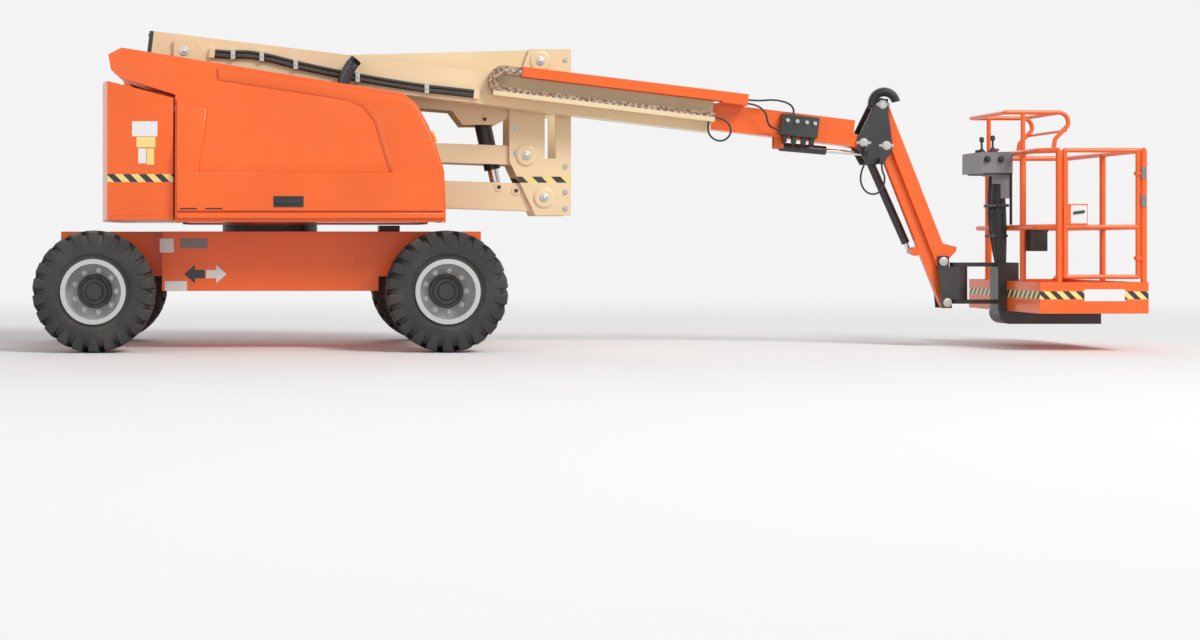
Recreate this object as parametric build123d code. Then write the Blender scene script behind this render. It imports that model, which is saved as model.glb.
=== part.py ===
from build123d import *
import os
from math import atan2, cos, degrees, hypot, radians, sin, tan

# Articulating boom lift, in millimetres: X forward towards the platform, Y to the far side, Z up.
# Every piece is drawn with X = 0 on the swing axis and moved to the row's origin when it is written.

# Overall stance
WHEELBASE = 2440
OVERALL_WIDTH = 2260
PIN_CLEARANCE = 0.05      # radial running fit of a pin in its bore
SEAT_GAP = 0.3            # between pieces that sit or slide on each other
SIDE_GAP = 10             # between a moving link and the plates beside it

# Wheels
TYRE_OD = 845
TYRE_WIDTH = 310
TYRE_SHOULDER = 50
TREAD_DEPTH = 26
TREAD_BARS = 14           # on each side of the tyre, an even number
TREAD_BAR = 82            # bar's width round the tyre
TREAD_REACH = 165         # bar's length from the side wall
BEAD_RADIUS = 210
LIP_RADIUS = 225
LIP_THICKNESS = 14
RIM_WALL = 18
DISC_THICKNESS = 16
HUB_RADIUS = 115
HUB_RECESS = 150          # hub face behind the rim's outer lip
HUB_NOSE = 64             # hub length outside the disc
HUB_BACK = 75             # hub length inside the disc
SPINDLE_RADIUS = 45
SPINDLE_REACH = 110       # length of spindle inside the hub

# Axles and steering
BEAM_HALF_X = 80
BEAM_HALF_Z = 80
KINGPIN_INSET = 100       # kingpin inside the tyre's inner face
KINGPIN_RADIUS = 28
KNUCKLE_RADIUS = 60
KNUCKLE_HALF_Z = 95
FORK_PLATE = 30
FORK_GAP = 5
YOKE_HALF_Y = 30
YOKE_GAP = 20             # between the yoke and the knuckle, for the steering arm
STEER_ARM = 200
STEER_ARM_HALF_Y = 25
STEER_ARM_THICKNESS = 30
STEER_ARM_DROP = 35       # arm's mid height below the axle
TIE_ROD_RADIUS = 14.4
TIE_EYE_RADIUS = 30
TIE_EYE_THICKNESS = 30
TIE_PIN_RADIUS = 14

# Chassis
FRAME_TOP = 840
FRAME_BOTTOM = 417
FRAME_END_BOTTOM = 520
FRAME_INSET = 120         # frame's side inside the kingpin
FRAME_STEER_INSET = 280   # and at the steered axle
FRAME_MID_INSET = 450     # middle box's end inside the axle
FRAME_OVERHANG = 280      # frame's end past the axle
FRAME_PLATE = 16
LUG_THICKNESS = 30
LUG_REACH = 90
LUG_INSET = 140           # lug's middle inside the frame's narrower side
LUG_Z = 640
LUG_BORE_RADIUS = 25
BEARING_RADIUS = 350
BEARING_BORE = 260
BEARING_TOP = 890

# Turntable, hoods and counterweight
DECK_BOTTOM = 915
DECK_THICKNESS = 30
DECK_HALF_WIDTH = 1005
DECK_FRONT = 1160
DECK_REAR = -1100
TOWER_Y = 60              # middle plane of the tower links
TOWER_HALF_GAP = 200      # tower plates' inner faces from that plane
TOWER_PLATE = 20
PLATE_EDGE = 80           # plate left round a tower pin
HOOD_OUTER_Y = 1050
HOOD_INNER_Y = 560
HOOD_WALL = 30
HOOD_BOTTOM = 902
HOOD_REAR = -662
HOOD_FRONT = 1211
HOOD_LEAN_BOTTOM = 1300   # the side panel leans inwards above this height
HOOD_LEAN = 150           # by this much at the crest
HOOD_CREST_REAR = (-1040, 2120)
HOOD_CREST_FRONT = (920, 1800)
HOOD_REAR_TOP = 1788      # top of the hood's straight rear edge
HOOD_OVERHANG = [(-1040, 1905), (-1110, 1965), (-1130, 2070)]
HOOD_NOSE = [(1015, 1727), (1097, 1569), (1152, 1419), (1200, 1255), (HOOD_FRONT, 995)]
HINGE_ROD_RADIUS = 10
HINGE_ROD_ENDS = (-620, 860)  # hood's hinge rod, along X
HINGE_POSTS = (-500, 760)
HINGE_POST_HALF = 20
COUNTERWEIGHT_REAR = -1220
COUNTERWEIGHT_CORNER = -1130
COUNTERWEIGHT_INSET = 5   # inside the deck's sides
COUNTERWEIGHT_WALL = 300
COUNTERWEIGHT_GAP = 12
COUNTERWEIGHT_TOP = [(-1130, 1880), (HOOD_REAR, 1760)]
ENGINE_SIZE = (900, 330, 520)
ENGINE_X = 60
EXHAUST_RADIUS = 45
EXHAUST_X = 520
EXHAUST_Y = -482
EXHAUST_TOP = 1960
EXHAUST_BEND = 75
EXHAUST_TURN = 40

# Tower links: pins as (X, Z)
LOWER_REAR = (-590, 1180)
LOWER_FRONT = (2009, 1091)
TIMING_OFFSET = (-131, 308)   # timing link's pins from the lower riser's pins
UPPER_FRONT = (1980, 2091)
UPPER_REAR = (-620, 2009)
TOWER_PIN_RADIUS = 32
RISER_SIDE = 12
LOWER_RISER_HEIGHT = 200
TIMING_HEIGHT = 140
TIMING_BAR = 40
UPRIGHT_REAR = 1754
UPRIGHT_FRONT = 2206
UPRIGHT_BOTTOM = 960
UPRIGHT_TOP_EDGE = 89     # above the upper riser's pin
UPRIGHT_CHAMFER = (190, 400)
UPPER_RISER_DEPTH = 455
UPPER_END_RADIUS = 95
TOWER_CYL_TOP = (1574, 1666)
TOWER_CYL_FOOT = (1681, 1170)
TOWER_CYL_RADIUS = 62
TOWER_STAGE_RADIUS = 50
TOWER_ROD_RADIUS = 38
TOWER_BARREL_UP = 420
TOWER_BARREL_DOWN = 300
TOWER_STAGE_STEP = 30     # stage showing below the barrel at rest
CYL_PIN_RADIUS = 24
EYE_FACTOR = 1.6          # eye radius to pin radius
EYE_SLACK = 1             # in an eye that has no pin of its own

# Main boom: pin as (X, Z), slope down towards the front
BOOM_Y = -280
BOOM_PIN = (-620, 2140)
BOOM_SLOPE = 6.87
BOOM_REAR = -234          # along the boom, from its pin
BOOM_FRONT = 3848
BOOM_HEIGHT = 235
BOOM_WIDTH = 200
BOOM_WALL = 10
BOOM_PIN_RADIUS = 35
TAIL_CAP = 30
WEAR_PAD = 120
KNUCKLE_PLATE = 20
KNUCKLE_EDGE = 75         # plate left round a boom pin
LIFT_GAP = 6              # between a cylinder's eye and the plates beside it
LIFT_FOOT = (-450, 1600)
LIFT_EYE = (750, 1785)
LIFT_CYL_RADIUS = 58
LIFT_ROD_RADIUS = 36
TROUGH_START = 2240       # along the boom
TROUGH_WIDTH = 110
TROUGH_DEPTH = 55
TROUGH_PLATE = 6
TROUGH_DROP = 45          # trough floor below the boom's middle
CARRIER_WIDTH = 80
CARRIER_HEIGHT = 60
CARRIER_BEND = 215        # outside height of the carrier at its bend
CARRIER_START = 2307      # middle of the bend, along the boom
CARRIER_UPPER = 1700
LINK_PITCH = 95           # along the carrier
LINK_GAP = 16             # between its links
LINK_STEP = 5             # link's face outside the core
TUBE_START = 2430
TUBE_END = 4060
TUBE_PLATE = 6

# Fly boom and jib: pins as (X, Z)
FLY_HEIGHT = 190
FLY_WIDTH = 150
FLY_WALL = 10
FLY_REAR = 348
FLY_NOSE = 4890
TELESCOPE_STROKE = 2900
FLY_PIVOT = (4302, 1485)
FLY_LUG_RADIUS = 45
JIB_PLATE = 16
JIB_LUG = 40              # plate left round a jib pin
JIB_PIN_RADIUS = 22
LEVEL_EYE = (4367, 1404)
LEVEL_BARREL_END = 350
LEVEL_FOOT = (3700, 1462)
LEVEL_CYL_RADIUS = 32
LEVEL_ROD_RADIUS = 16
LEVEL_ROD_START = 0.7    # rod's inner end, as a share of the barrel
JIB_UPPER = (4440, 1763.5)
JIB_LOWER = (4468, 1464.5)
JIB_LENGTH = 1225
JIB_ANGLE = -68.5
JIB_UPPER_HEIGHT = 97
JIB_LOWER_HEIGHT = 73
JIB_BAR = 25
JIB_LOWER_WIDTH = 60
JIB_INNER_GAP = 8         # between the lower arm and the upper arm's bars
JIB_CYL_FOOT = (4405, 1370)
JIB_CYL_REACH = 800       # rod pin along the lower arm
JIB_CYL_OFFSET = 62       # and below its middle line
JIB_CYL_RADIUS = 30
JIB_ROD_RADIUS = 17
VALVE_SIZE = (270, 60, 150)
VALVE_X = 3830

# Hoses: routes as (along the boom, above its middle line, across from it) or (X, Z)
ARC_SHARE = 0.45          # of the shorter run, taken by the arc at a point of a route
CLAMP_LENGTH = 40
BOOM_HOSE_RADIUS = 13
BOOM_HOSE_GAP = 9         # between the hoses and the boom's side
BOOM_HOSE_PITCH = 34
BOOM_HOSE_ROUTE = [(222, 10), (312, 10), (445, 34), (620, 26), (770, 4), (1060, -24), (1386, -44),
                   (1710, -58), (1960, -54), (2110, -54)]
SMALL_HOSE_RADIUS = 7
TROUGH_HOSE_ROUTE = [(3848, -15), (3905, -15), (3968, -48), (3990, -115), (3950, -172), (3885, -182),
                     (3830, -145), (3815, -100), (3815, -51)]
TUBE_HOSE_UPPER = [(4072, 140, -155), (4150, 140, -155), (4260, 165, -142), (4350, 162, -125),
                   (4405, 145, -112), (4432, 112, -105), (4432, 75, -105)]
TUBE_HOSE_LOWER = [(4072, 112, -168), (4150, 112, -168), (4220, 60, -168), (4238, -5, -160),
                   (4280, -40, -120), (4347, -40, -120)]
KNUCKLE_HOSE_Y = -440
FITTING_HALF = 18
KNUCKLE_HOSE_ROUTE = [(4310, 1420), (4310, 1362), (4268, 1285), (4258, 1200), (4298, 1122), (4372, 1105),
                      (4428, 1155), (4440, 1235), (4415, 1285), (4415, 1335)]

# Rotator and platform
ROTATOR_X = 5000
ROTATOR_RADIUS = 85
ROTATOR_BOTTOM = 346
ROTATOR_TOP = 586
ROTATOR_PLATE = 15
ROTATOR_SHAFT = 30
SUPPORT_ARM_THICKNESS = 30
SUPPORT_ARM_HALF = 40
COLUMN_REAR = 5285
COLUMN_DEPTH = 150
COLUMN_HALF_WIDTH = 90
COLUMN_HEEL = 80          # radius where the column turns into the beam
BEAM_BOTTOM = 171
BEAM_HALF_WIDTH = 110
BEAM_FRONT = 6030
PLATFORM_REAR = 5350
PLATFORM_FRONT = 6110
PLATFORM_WIDTH = 1520
FLOOR_BOTTOM = 266
FLOOR_THICKNESS = 36
TOE_TOP = 484
TOE_PLATE = 8
RAIL_RADIUS = 19
POST_RADIUS = 22
RAIL_BEND = 70
MID_RAIL_Z = 870
TOP_RAIL_Z = 1404
CORNER_CUT = 120
GATE_GAP = 22
GATE_RADIUS = 16
GATE_LUG_RADIUS = 26
GATE_LUG_HEIGHT = 24
GATE_LUG_Z = (640, 1230)
GUARD_RADIUS = 16
GUARD_HALF = 365
GUARD_TOP = 1690
GUARD_FRONT = 5640
GUARD_REAR = 5225
CONSOLE_SIZE = (230, 420, 150)
CONSOLE_Z = 1262

# Sizes that follow
AXLE_Z = TYRE_OD / 2
WHEEL_X = WHEELBASE / 2
FRAME_MID_HALF_X = WHEEL_X - FRAME_MID_INSET
FRAME_HALF_LENGTH = WHEEL_X + FRAME_OVERHANG
WHEEL_Y = OVERALL_WIDTH / 2 - TYRE_WIDTH / 2
ORIGIN_X = (PLATFORM_FRONT - WHEEL_X - TYRE_OD / 2) / 2
LINK_HALF = TOWER_HALF_GAP - SIDE_GAP
KINGPIN_Y = OVERALL_WIDTH / 2 - TYRE_WIDTH - KINGPIN_INSET
FRAME_HALF_WIDTH = KINGPIN_Y - FRAME_INSET
FRAME_STEER_HALF_WIDTH = KINGPIN_Y - FRAME_STEER_INSET
UPRIGHT_TOP = UPPER_FRONT[1] + UPRIGHT_TOP_EDGE
COUNTERWEIGHT_HALF_WIDTH = DECK_HALF_WIDTH - COUNTERWEIGHT_INSET


def span(x0, x1, y0, y1, z0, z1):
    """Box between two corners."""
    return Pos((x0 + x1) / 2, (y0 + y1) / 2, (z0 + z1) / 2) * Box(x1 - x0, y1 - y0, z1 - z0)


def along_y(point, radius, y0, y1):
    """Round bar along Y through a point given as (X, Z)."""
    return Pos(point[0], (y0 + y1) / 2, point[1]) * Rot(90, 0, 0) * Cylinder(radius, abs(y1 - y0))


def along_z(x, y, radius, z0, z1):
    """Upright round bar."""
    return Pos(x, y, (z0 + z1) / 2) * Cylinder(radius, z1 - z0)


def rod(start, end, radius):
    """Round bar between two points."""
    start, end = Vector(*start), Vector(*end)
    way = end - start
    return Plane(origin=(start + end) * 0.5, z_dir=way) * Cylinder(radius, way.length)


def plate(points, y0, y1):
    """Flat plate with an outline of (X, Z) points, from y0 to y1."""
    plane = Plane(origin=(0, y1, 0), x_dir=(1, 0, 0), z_dir=(0, -1, 0))
    return extrude(plane * make_face(Polyline(*points, close=True)), amount=y1 - y0)


def link_plate(start, end, half_height, y0, y1):
    """Bar with round ends between two pins given as (X, Z)."""
    length = hypot(end[0] - start[0], end[1] - start[1])
    turn = degrees(atan2(end[1] - start[1], end[0] - start[0]))
    bar = Box(length, y1 - y0, 2 * half_height)
    middle = ((start[0] + end[0]) / 2, (start[1] + end[1]) / 2)
    solid = Pos(middle[0], (y0 + y1) / 2, middle[1]) * Rot(0, -turn, 0) * bar
    return solid + along_y(start, half_height, y0, y1) + along_y(end, half_height, y0, y1)


def between(start, end, share):
    """Point a share of the way from start to end."""
    return tuple(a + (b - a) * share for a, b in zip(start, end))


def reach(start, end, distance):
    """Point a distance along the line from start to end."""
    return between(start, end, distance / hypot(end[0] - start[0], end[1] - start[1]))


def with_y(point, y):
    """(X, Y, Z) of a point given as (X, Z)."""
    return (point[0], y, point[1])


def hose(points, radius):
    """Tube along straight runs, with an arc as large as its two runs allow at each point between them."""
    spots = [Vector(*point) for point in points]
    path, radii, here = [], [], spots[0]
    for before, corner, after in zip(spots, spots[1:], spots[2:]):
        set_back = ARC_SHARE * min((corner - before).length, (after - corner).length)
        way = (corner - before).normalized()
        start, stop = corner - way * set_back, corner + (after - corner).normalized() * set_back
        path += [Edge.make_line(here, start), Edge.make_tangent_arc(start, way, stop)]
        radii.append(round(set_back / tan(radians(way.get_angle(after - corner)) / 2)))
        here = stop
    path.append(Edge.make_line(here, spots[-1]))
    print("hose of radius", radius, "bends at radii", radii)
    section = Plane(origin=spots[0], z_dir=spots[1] - spots[0]) * Circle(radius)
    return sweep(section, path=Wire(path))


def write(name, solid):
    """One file for each named piece, moved to the row's origin."""
    moved = Pos(-ORIGIN_X, 0, 0) * solid
    moved.label = name
    export_step(moved, f"parts/{name}.step")


os.makedirs("parts", exist_ok=True)


# Wheels

def tread_bar(side, index):
    """One bar of the tread; the two sides are staggered by half a pitch."""
    turn = (index + (0.5 if side > 0 else 0)) * 360 / TREAD_BARS
    middle = side * (TYRE_WIDTH - TREAD_REACH) / 2
    bar = Box(TREAD_BAR, TREAD_REACH, 2 * TREAD_DEPTH)
    return Rot(0, turn, 0) * Pos(0, middle, TREAD_DEPTH - TYRE_OD / 2) * bar


def carcass():
    """Tyre about Y under its tread, with two facets for each bar and chamfered shoulders."""
    radius = TYRE_OD / 2 - TREAD_DEPTH
    face = RegularPolygon(radius, 2 * TREAD_BARS, major_radius=False, rotation=90 / TREAD_BARS)
    slab = Rot(90, 0, 0) * extrude(face, amount=TYRE_WIDTH / 2, both=True)
    ends = slab.faces().sort_by(Axis.Y)
    return chamfer(ends[0].edges() + ends[-1].edges(), TYRE_SHOULDER)


def tyre():
    """Tyre with a bar tread, and a recess on each side for the rim's lips."""
    body = carcass() + [tread_bar(side, index) for side in (-1, 1) for index in range(TREAD_BARS)]
    body -= Rot(90, 0, 0) * Cylinder(BEAD_RADIUS, TYRE_WIDTH)
    for side in (-1, 1):
        recess = Cylinder(LIP_RADIUS + SEAT_GAP, LIP_THICKNESS + SEAT_GAP)
        body -= Pos(0, side * (TYRE_WIDTH - LIP_THICKNESS - SEAT_GAP) / 2, 0) * Rot(90, 0, 0) * recess
    return body


def rim():
    """Rim, disc and planetary hub about Y, with the outside towards +Y."""
    half = TYRE_WIDTH / 2
    hub_face = half - HUB_RECESS
    disc_face = hub_face - HUB_NOSE
    disc_back = disc_face - DISC_THICKNESS
    barrel = along_y((0, 0), BEAD_RADIUS - SEAT_GAP, -half, half)
    barrel += along_y((0, 0), LIP_RADIUS, half - LIP_THICKNESS, half)
    barrel += along_y((0, 0), LIP_RADIUS, -half, LIP_THICKNESS - half)
    barrel -= along_y((0, 0), BEAD_RADIUS - SEAT_GAP - RIM_WALL, -half, half)
    barrel += along_y((0, 0), BEAD_RADIUS - RIM_WALL, disc_back, disc_face)
    barrel += along_y((0, 0), HUB_RADIUS, disc_back - HUB_BACK, hub_face)
    depth = SPINDLE_REACH + FORK_GAP
    return barrel - along_y((0, 0), SPINDLE_RADIUS + PIN_CLEARANCE, disc_back - HUB_BACK,
                            disc_back - HUB_BACK + depth)


HUB_BACK_Y = WHEEL_Y + TYRE_WIDTH / 2 - HUB_RECESS - HUB_NOSE - DISC_THICKNESS - HUB_BACK
SPINDLE_END = HUB_BACK_Y + SPINDLE_REACH
SIDES = {"near": -1, "far": 1}
ENDS = {"steer": -1, "drive": 1}

for end_name, end in ENDS.items():
    for side_name, side in SIDES.items():
        place = Pos(end * WHEEL_X, side * WHEEL_Y, AXLE_Z) * Rot(0, 0, 0 if side > 0 else 180)
        write(f"tyre_{end_name}_{side_name}", place * tyre())
        write(f"rim_{end_name}_{side_name}", place * rim())


# Chassis

def frame_box(x0, x1, half_width, bottom):
    """Closed box of plate."""
    outer = span(x0, x1, -half_width, half_width, bottom, FRAME_TOP)
    wall = FRAME_PLATE
    inner = wall - half_width, half_width - wall, bottom + wall, FRAME_TOP - wall
    return outer - span(x0 + wall, x1 - wall, *inner)


def chassis_frame():
    """Three closed boxes in a row, with a tie-down lug at each corner."""
    frame = frame_box(-FRAME_MID_HALF_X, FRAME_MID_HALF_X, FRAME_HALF_WIDTH, FRAME_BOTTOM)
    frame += frame_box(-FRAME_HALF_LENGTH, -FRAME_MID_HALF_X, FRAME_STEER_HALF_WIDTH, FRAME_END_BOTTOM)
    frame += frame_box(FRAME_MID_HALF_X, FRAME_HALF_LENGTH, FRAME_HALF_WIDTH, FRAME_END_BOTTOM)
    for end in ENDS.values():
        for side in SIDES.values():
            face = end * FRAME_HALF_LENGTH
            tip = face + end * (LUG_REACH - 2 * LUG_BORE_RADIUS)
            y, half = side * (FRAME_STEER_HALF_WIDTH - LUG_INSET), 2 * LUG_BORE_RADIUS
            z0, z1 = LUG_Z - LUG_THICKNESS / 2, LUG_Z + LUG_THICKNESS / 2
            ear = span(min(face, tip), max(face, tip), y - half, y + half, z0, z1)
            ear += along_z(tip, y, half, z0, z1)
            frame += ear - along_z(tip, y, LUG_BORE_RADIUS, z0, z1)
    return frame


def axle_saddle(x):
    """Block on top of an axle beam, up to the frame's underside."""
    return span(x - BEAM_HALF_X, x + BEAM_HALF_X, -FRAME_STEER_HALF_WIDTH / 2, FRAME_STEER_HALF_WIDTH / 2,
                AXLE_Z, FRAME_END_BOTTOM)


def steer_axle():
    """Beam with a yoke at each end round the kingpins."""
    x = -WHEEL_X
    yoke_y = KINGPIN_Y - KNUCKLE_RADIUS - YOKE_GAP - 2 * YOKE_HALF_Y
    beam = span(x - BEAM_HALF_X, x + BEAM_HALF_X, -yoke_y, yoke_y, AXLE_Z - BEAM_HALF_Z, AXLE_Z + BEAM_HALF_Z)
    beam += axle_saddle(x)
    fork_low = KNUCKLE_HALF_Z + FORK_GAP
    for side in SIDES.values():
        inner, outer = sorted((side * yoke_y, side * (yoke_y + 2 * YOKE_HALF_Y)))
        top = fork_low + FORK_PLATE
        beam += span(x - KNUCKLE_RADIUS, x + KNUCKLE_RADIUS, inner, outer, AXLE_Z - top, AXLE_Z + top)
        for way in (-1, 1):
            z0, z1 = sorted((AXLE_Z + way * fork_low, AXLE_Z + way * top))
            y0, y1 = sorted((side * yoke_y, side * KINGPIN_Y))
            cheek = span(x - KNUCKLE_RADIUS, x + KNUCKLE_RADIUS, y0, y1, z0, z1)
            cheek += along_z(x, side * KINGPIN_Y, KNUCKLE_RADIUS, z0, z1)
            beam += cheek
            beam -= along_z(x, side * KINGPIN_Y, KINGPIN_RADIUS + PIN_CLEARANCE, z0, z1)
    return beam


def knuckle(side):
    """Steering knuckle: kingpin, spindle and steering arm with its pin."""
    x, y = -WHEEL_X, side * KINGPIN_Y
    reach_z = KNUCKLE_HALF_Z + FORK_GAP + FORK_PLATE
    body = along_z(x, y, KNUCKLE_RADIUS, AXLE_Z - KNUCKLE_HALF_Z, AXLE_Z + KNUCKLE_HALF_Z)
    body += along_z(x, y, KINGPIN_RADIUS, AXLE_Z - reach_z, AXLE_Z + reach_z)
    body += along_y((x, AXLE_Z), SPINDLE_RADIUS, y, side * SPINDLE_END)
    arm_z = AXLE_Z - STEER_ARM_DROP
    half = STEER_ARM_THICKNESS / 2
    body += span(x, x + STEER_ARM, y - STEER_ARM_HALF_Y, y + STEER_ARM_HALF_Y, arm_z - half, arm_z + half)
    body += along_z(x + STEER_ARM, y, STEER_ARM_HALF_Y, arm_z - half, arm_z + half)
    pin_low = arm_z - half - TIE_EYE_THICKNESS - 2 * SEAT_GAP
    return body + along_z(x + STEER_ARM, y, TIE_PIN_RADIUS, pin_low, arm_z)


def tie_rod():
    """Bar between the steering arms' pins."""
    x = -WHEEL_X + STEER_ARM
    top = AXLE_Z - STEER_ARM_DROP - STEER_ARM_THICKNESS / 2 - SEAT_GAP
    z = top - TIE_EYE_THICKNESS / 2
    bar = along_y((x, z), TIE_ROD_RADIUS, -KINGPIN_Y, KINGPIN_Y)
    for side in SIDES.values():
        bar += along_z(x, side * KINGPIN_Y, TIE_EYE_RADIUS, top - TIE_EYE_THICKNESS, top)
    for side in SIDES.values():
        bar -= along_z(x, side * KINGPIN_Y, TIE_PIN_RADIUS + PIN_CLEARANCE, top - TIE_EYE_THICKNESS, top)
    return bar


def drive_axle():
    """Beam with a spindle at each end."""
    x = WHEEL_X
    y = FRAME_HALF_WIDTH + 2 * YOKE_HALF_Y
    beam = span(x - BEAM_HALF_X, x + BEAM_HALF_X, -y, y, AXLE_Z - BEAM_HALF_Z, AXLE_Z + BEAM_HALF_Z)
    beam += axle_saddle(x)
    return beam + along_y((x, AXLE_Z), SPINDLE_RADIUS, -SPINDLE_END, SPINDLE_END)


bearing = along_z(0, 0, BEARING_RADIUS, FRAME_TOP, BEARING_TOP)
bearing -= along_z(0, 0, BEARING_BORE, FRAME_TOP, BEARING_TOP)
write("chassis_frame", chassis_frame())
write("swing_bearing", bearing)
write("steer_axle", steer_axle())
write("drive_axle", drive_axle())
write("knuckle_near", knuckle(-1))
write("knuckle_far", knuckle(1))
write("tie_rod", tie_rod())


# Turntable

TOWER_NEAR = TOWER_Y - TOWER_HALF_GAP
TOWER_FAR = TOWER_Y + TOWER_HALF_GAP
TIMING_REAR = (LOWER_REAR[0] + TIMING_OFFSET[0], LOWER_REAR[1] + TIMING_OFFSET[1])
TIMING_FRONT = (LOWER_FRONT[0] + TIMING_OFFSET[0], LOWER_FRONT[1] + TIMING_OFFSET[1])
DECK_TOP = DECK_BOTTOM + DECK_THICKNESS


def tower_pin(point, y0, y1):
    """One of the tower's pins."""
    return along_y(point, TOWER_PIN_RADIUS, y0, y1)


def crest_z(x):
    """Height of the hoods' straight crest."""
    (x0, z0), (x1, z1) = HOOD_CREST_REAR, HOOD_CREST_FRONT
    return z0 + (z1 - z0) * (x - x0) / (x1 - x0)


def hinge_rod(side, radius):
    """Rod along the inner edge of a hood's crest."""
    start, stop = [(x, side * HOOD_INNER_Y, crest_z(x)) for x in HINGE_ROD_ENDS]
    return rod(start, stop, radius)


def hinge_post(side, x, half, top):
    """Square post under the hinge rod."""
    y = side * HOOD_INNER_Y
    return span(x - half, x + half, y - half, y + half, DECK_TOP, top)


def turntable_frame():
    """Deck with a ring on the bearing, and two plates that carry the tower's rear pins."""
    deck = span(DECK_REAR, DECK_FRONT, -DECK_HALF_WIDTH, DECK_HALF_WIDTH, DECK_BOTTOM, DECK_TOP)
    deck += along_z(0, 0, BEARING_RADIUS, BEARING_TOP + SEAT_GAP, DECK_BOTTOM)
    deck -= along_z(0, 0, BEARING_BORE, BEARING_TOP, DECK_TOP)
    (lx, lz), (tx, tz) = LOWER_REAR, TIMING_REAR
    outline = [(lx - 3 * PLATE_EDGE, DECK_TOP), (lx + 2 * PLATE_EDGE, DECK_TOP),
               (lx + PLATE_EDGE, lz + PLATE_EDGE),
               (tx + PLATE_EDGE, tz + PLATE_EDGE), (tx - PLATE_EDGE, tz + PLATE_EDGE)]
    for y0 in (TOWER_NEAR - TOWER_PLATE, TOWER_FAR):
        deck += plate(outline, y0, y0 + TOWER_PLATE)
    for pin in (LOWER_REAR, TIMING_REAR):
        deck += tower_pin(pin, TOWER_NEAR - TOWER_PLATE, TOWER_FAR + TOWER_PLATE)
    for side in SIDES.values():
        y0, y1 = sorted((side * (HOOD_INNER_Y - SIDE_GAP), side * HOOD_OUTER_Y))
        deck -= span(HOOD_REAR - SIDE_GAP, HOOD_REAR + HOOD_WALL + SIDE_GAP, y0, y1, 0, DECK_TOP)
        deck += hinge_rod(side, HINGE_ROD_RADIUS)
        for x in HINGE_POSTS:
            deck += hinge_post(side, x, HINGE_POST_HALF, crest_z(x))
    return deck


def hood_outline():
    """Side view of a hood: low rear edge, overhang above the counterweight, straight crest, round nose."""
    return ([(HOOD_FRONT, HOOD_BOTTOM), (HOOD_REAR, HOOD_BOTTOM), (HOOD_REAR, HOOD_REAR_TOP)]
            + HOOD_OVERHANG + [HOOD_CREST_REAR, HOOD_CREST_FRONT] + HOOD_NOSE)


def lean_cut(side, inset):
    """Wedge outside the side panel, which leans inwards towards the crest."""
    crest = HOOD_CREST_REAR[1]
    low, high = HOOD_OUTER_Y - inset, HOOD_OUTER_Y - inset - HOOD_LEAN
    points = [(side * low, HOOD_LEAN_BOTTOM), (side * high, crest), (side * high, 2 * crest),
              (side * 2 * HOOD_OUTER_Y, 2 * crest), (side * 2 * HOOD_OUTER_Y, HOOD_LEAN_BOTTOM)]
    face = Plane.YZ.offset(2 * DECK_REAR) * make_face(Polyline(*points, close=True))
    return extrude(face, amount=4 * DECK_FRONT)


def hood(side):
    """Hollow gull-wing hood, open below and towards the tower."""
    y0, y1 = sorted((side * HOOD_INNER_Y, side * HOOD_OUTER_Y))
    shell = plate(hood_outline(), y0, y1) - lean_cut(side, 0)
    plane = Plane(origin=(0, 0, 0), x_dir=(1, 0, 0), z_dir=(0, -1, 0))
    inner_face = offset(plane * make_face(Polyline(*hood_outline(), close=True)), amount=-HOOD_WALL)
    depth = HOOD_OUTER_Y - HOOD_WALL
    hollow = extrude(inner_face, amount=depth, both=True)
    near_edge, far_edge = sorted((side * HOOD_INNER_Y / 2, side * depth))
    hollow &= span(2 * DECK_REAR, 2 * DECK_FRONT, near_edge, far_edge, 0, 2 * HOOD_CREST_REAR[1])
    hollow -= lean_cut(side, HOOD_WALL)
    skirt = span(HOOD_REAR + HOOD_WALL, HOOD_FRONT - HOOD_WALL, near_edge, far_edge,
                 HOOD_BOTTOM, HOOD_BOTTOM + 2 * HOOD_WALL)
    body = shell - hollow - skirt - hinge_rod(side, HINGE_ROD_RADIUS + SEAT_GAP)
    for x in HINGE_POSTS:
        body -= hinge_post(side, x, HINGE_POST_HALF + SIDE_GAP, 2 * HOOD_CREST_REAR[1])
    return body


def counterweight():
    """Curved rear slab with two side wings, open towards the tower."""
    half = COUNTERWEIGHT_HALF_WIDTH
    front = HOOD_REAR - COUNTERWEIGHT_GAP
    rear = ThreePointArc((COUNTERWEIGHT_CORNER, -half), (COUNTERWEIGHT_REAR, 0), (COUNTERWEIGHT_CORNER, half))
    rest = Polyline((COUNTERWEIGHT_CORNER, half), (front, half),
                    (front, -half), (COUNTERWEIGHT_CORNER, -half))
    slab = Pos(0, 0, DECK_BOTTOM) * extrude(make_face([*rear.edges(), *rest.edges()]), amount=FRAME_TOP * 1.5)
    (x0, z0), (x1, z1) = COUNTERWEIGHT_TOP
    rise = (z1 - z0) / (x1 - x0)
    above = [(2 * x0, z0 + rise * x0), (0, z1 - rise * x1), (0, 2 * z0), (2 * x0, 2 * z0)]
    slab -= plate(above, -2 * half, 2 * half)
    slab -= span(COUNTERWEIGHT_REAR + COUNTERWEIGHT_WALL, 0,
                 COUNTERWEIGHT_WALL - half, half - COUNTERWEIGHT_WALL,
                 0, 2 * z0)
    return slab - span(DECK_REAR, 0, -half, half, 0, DECK_TOP)


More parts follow.
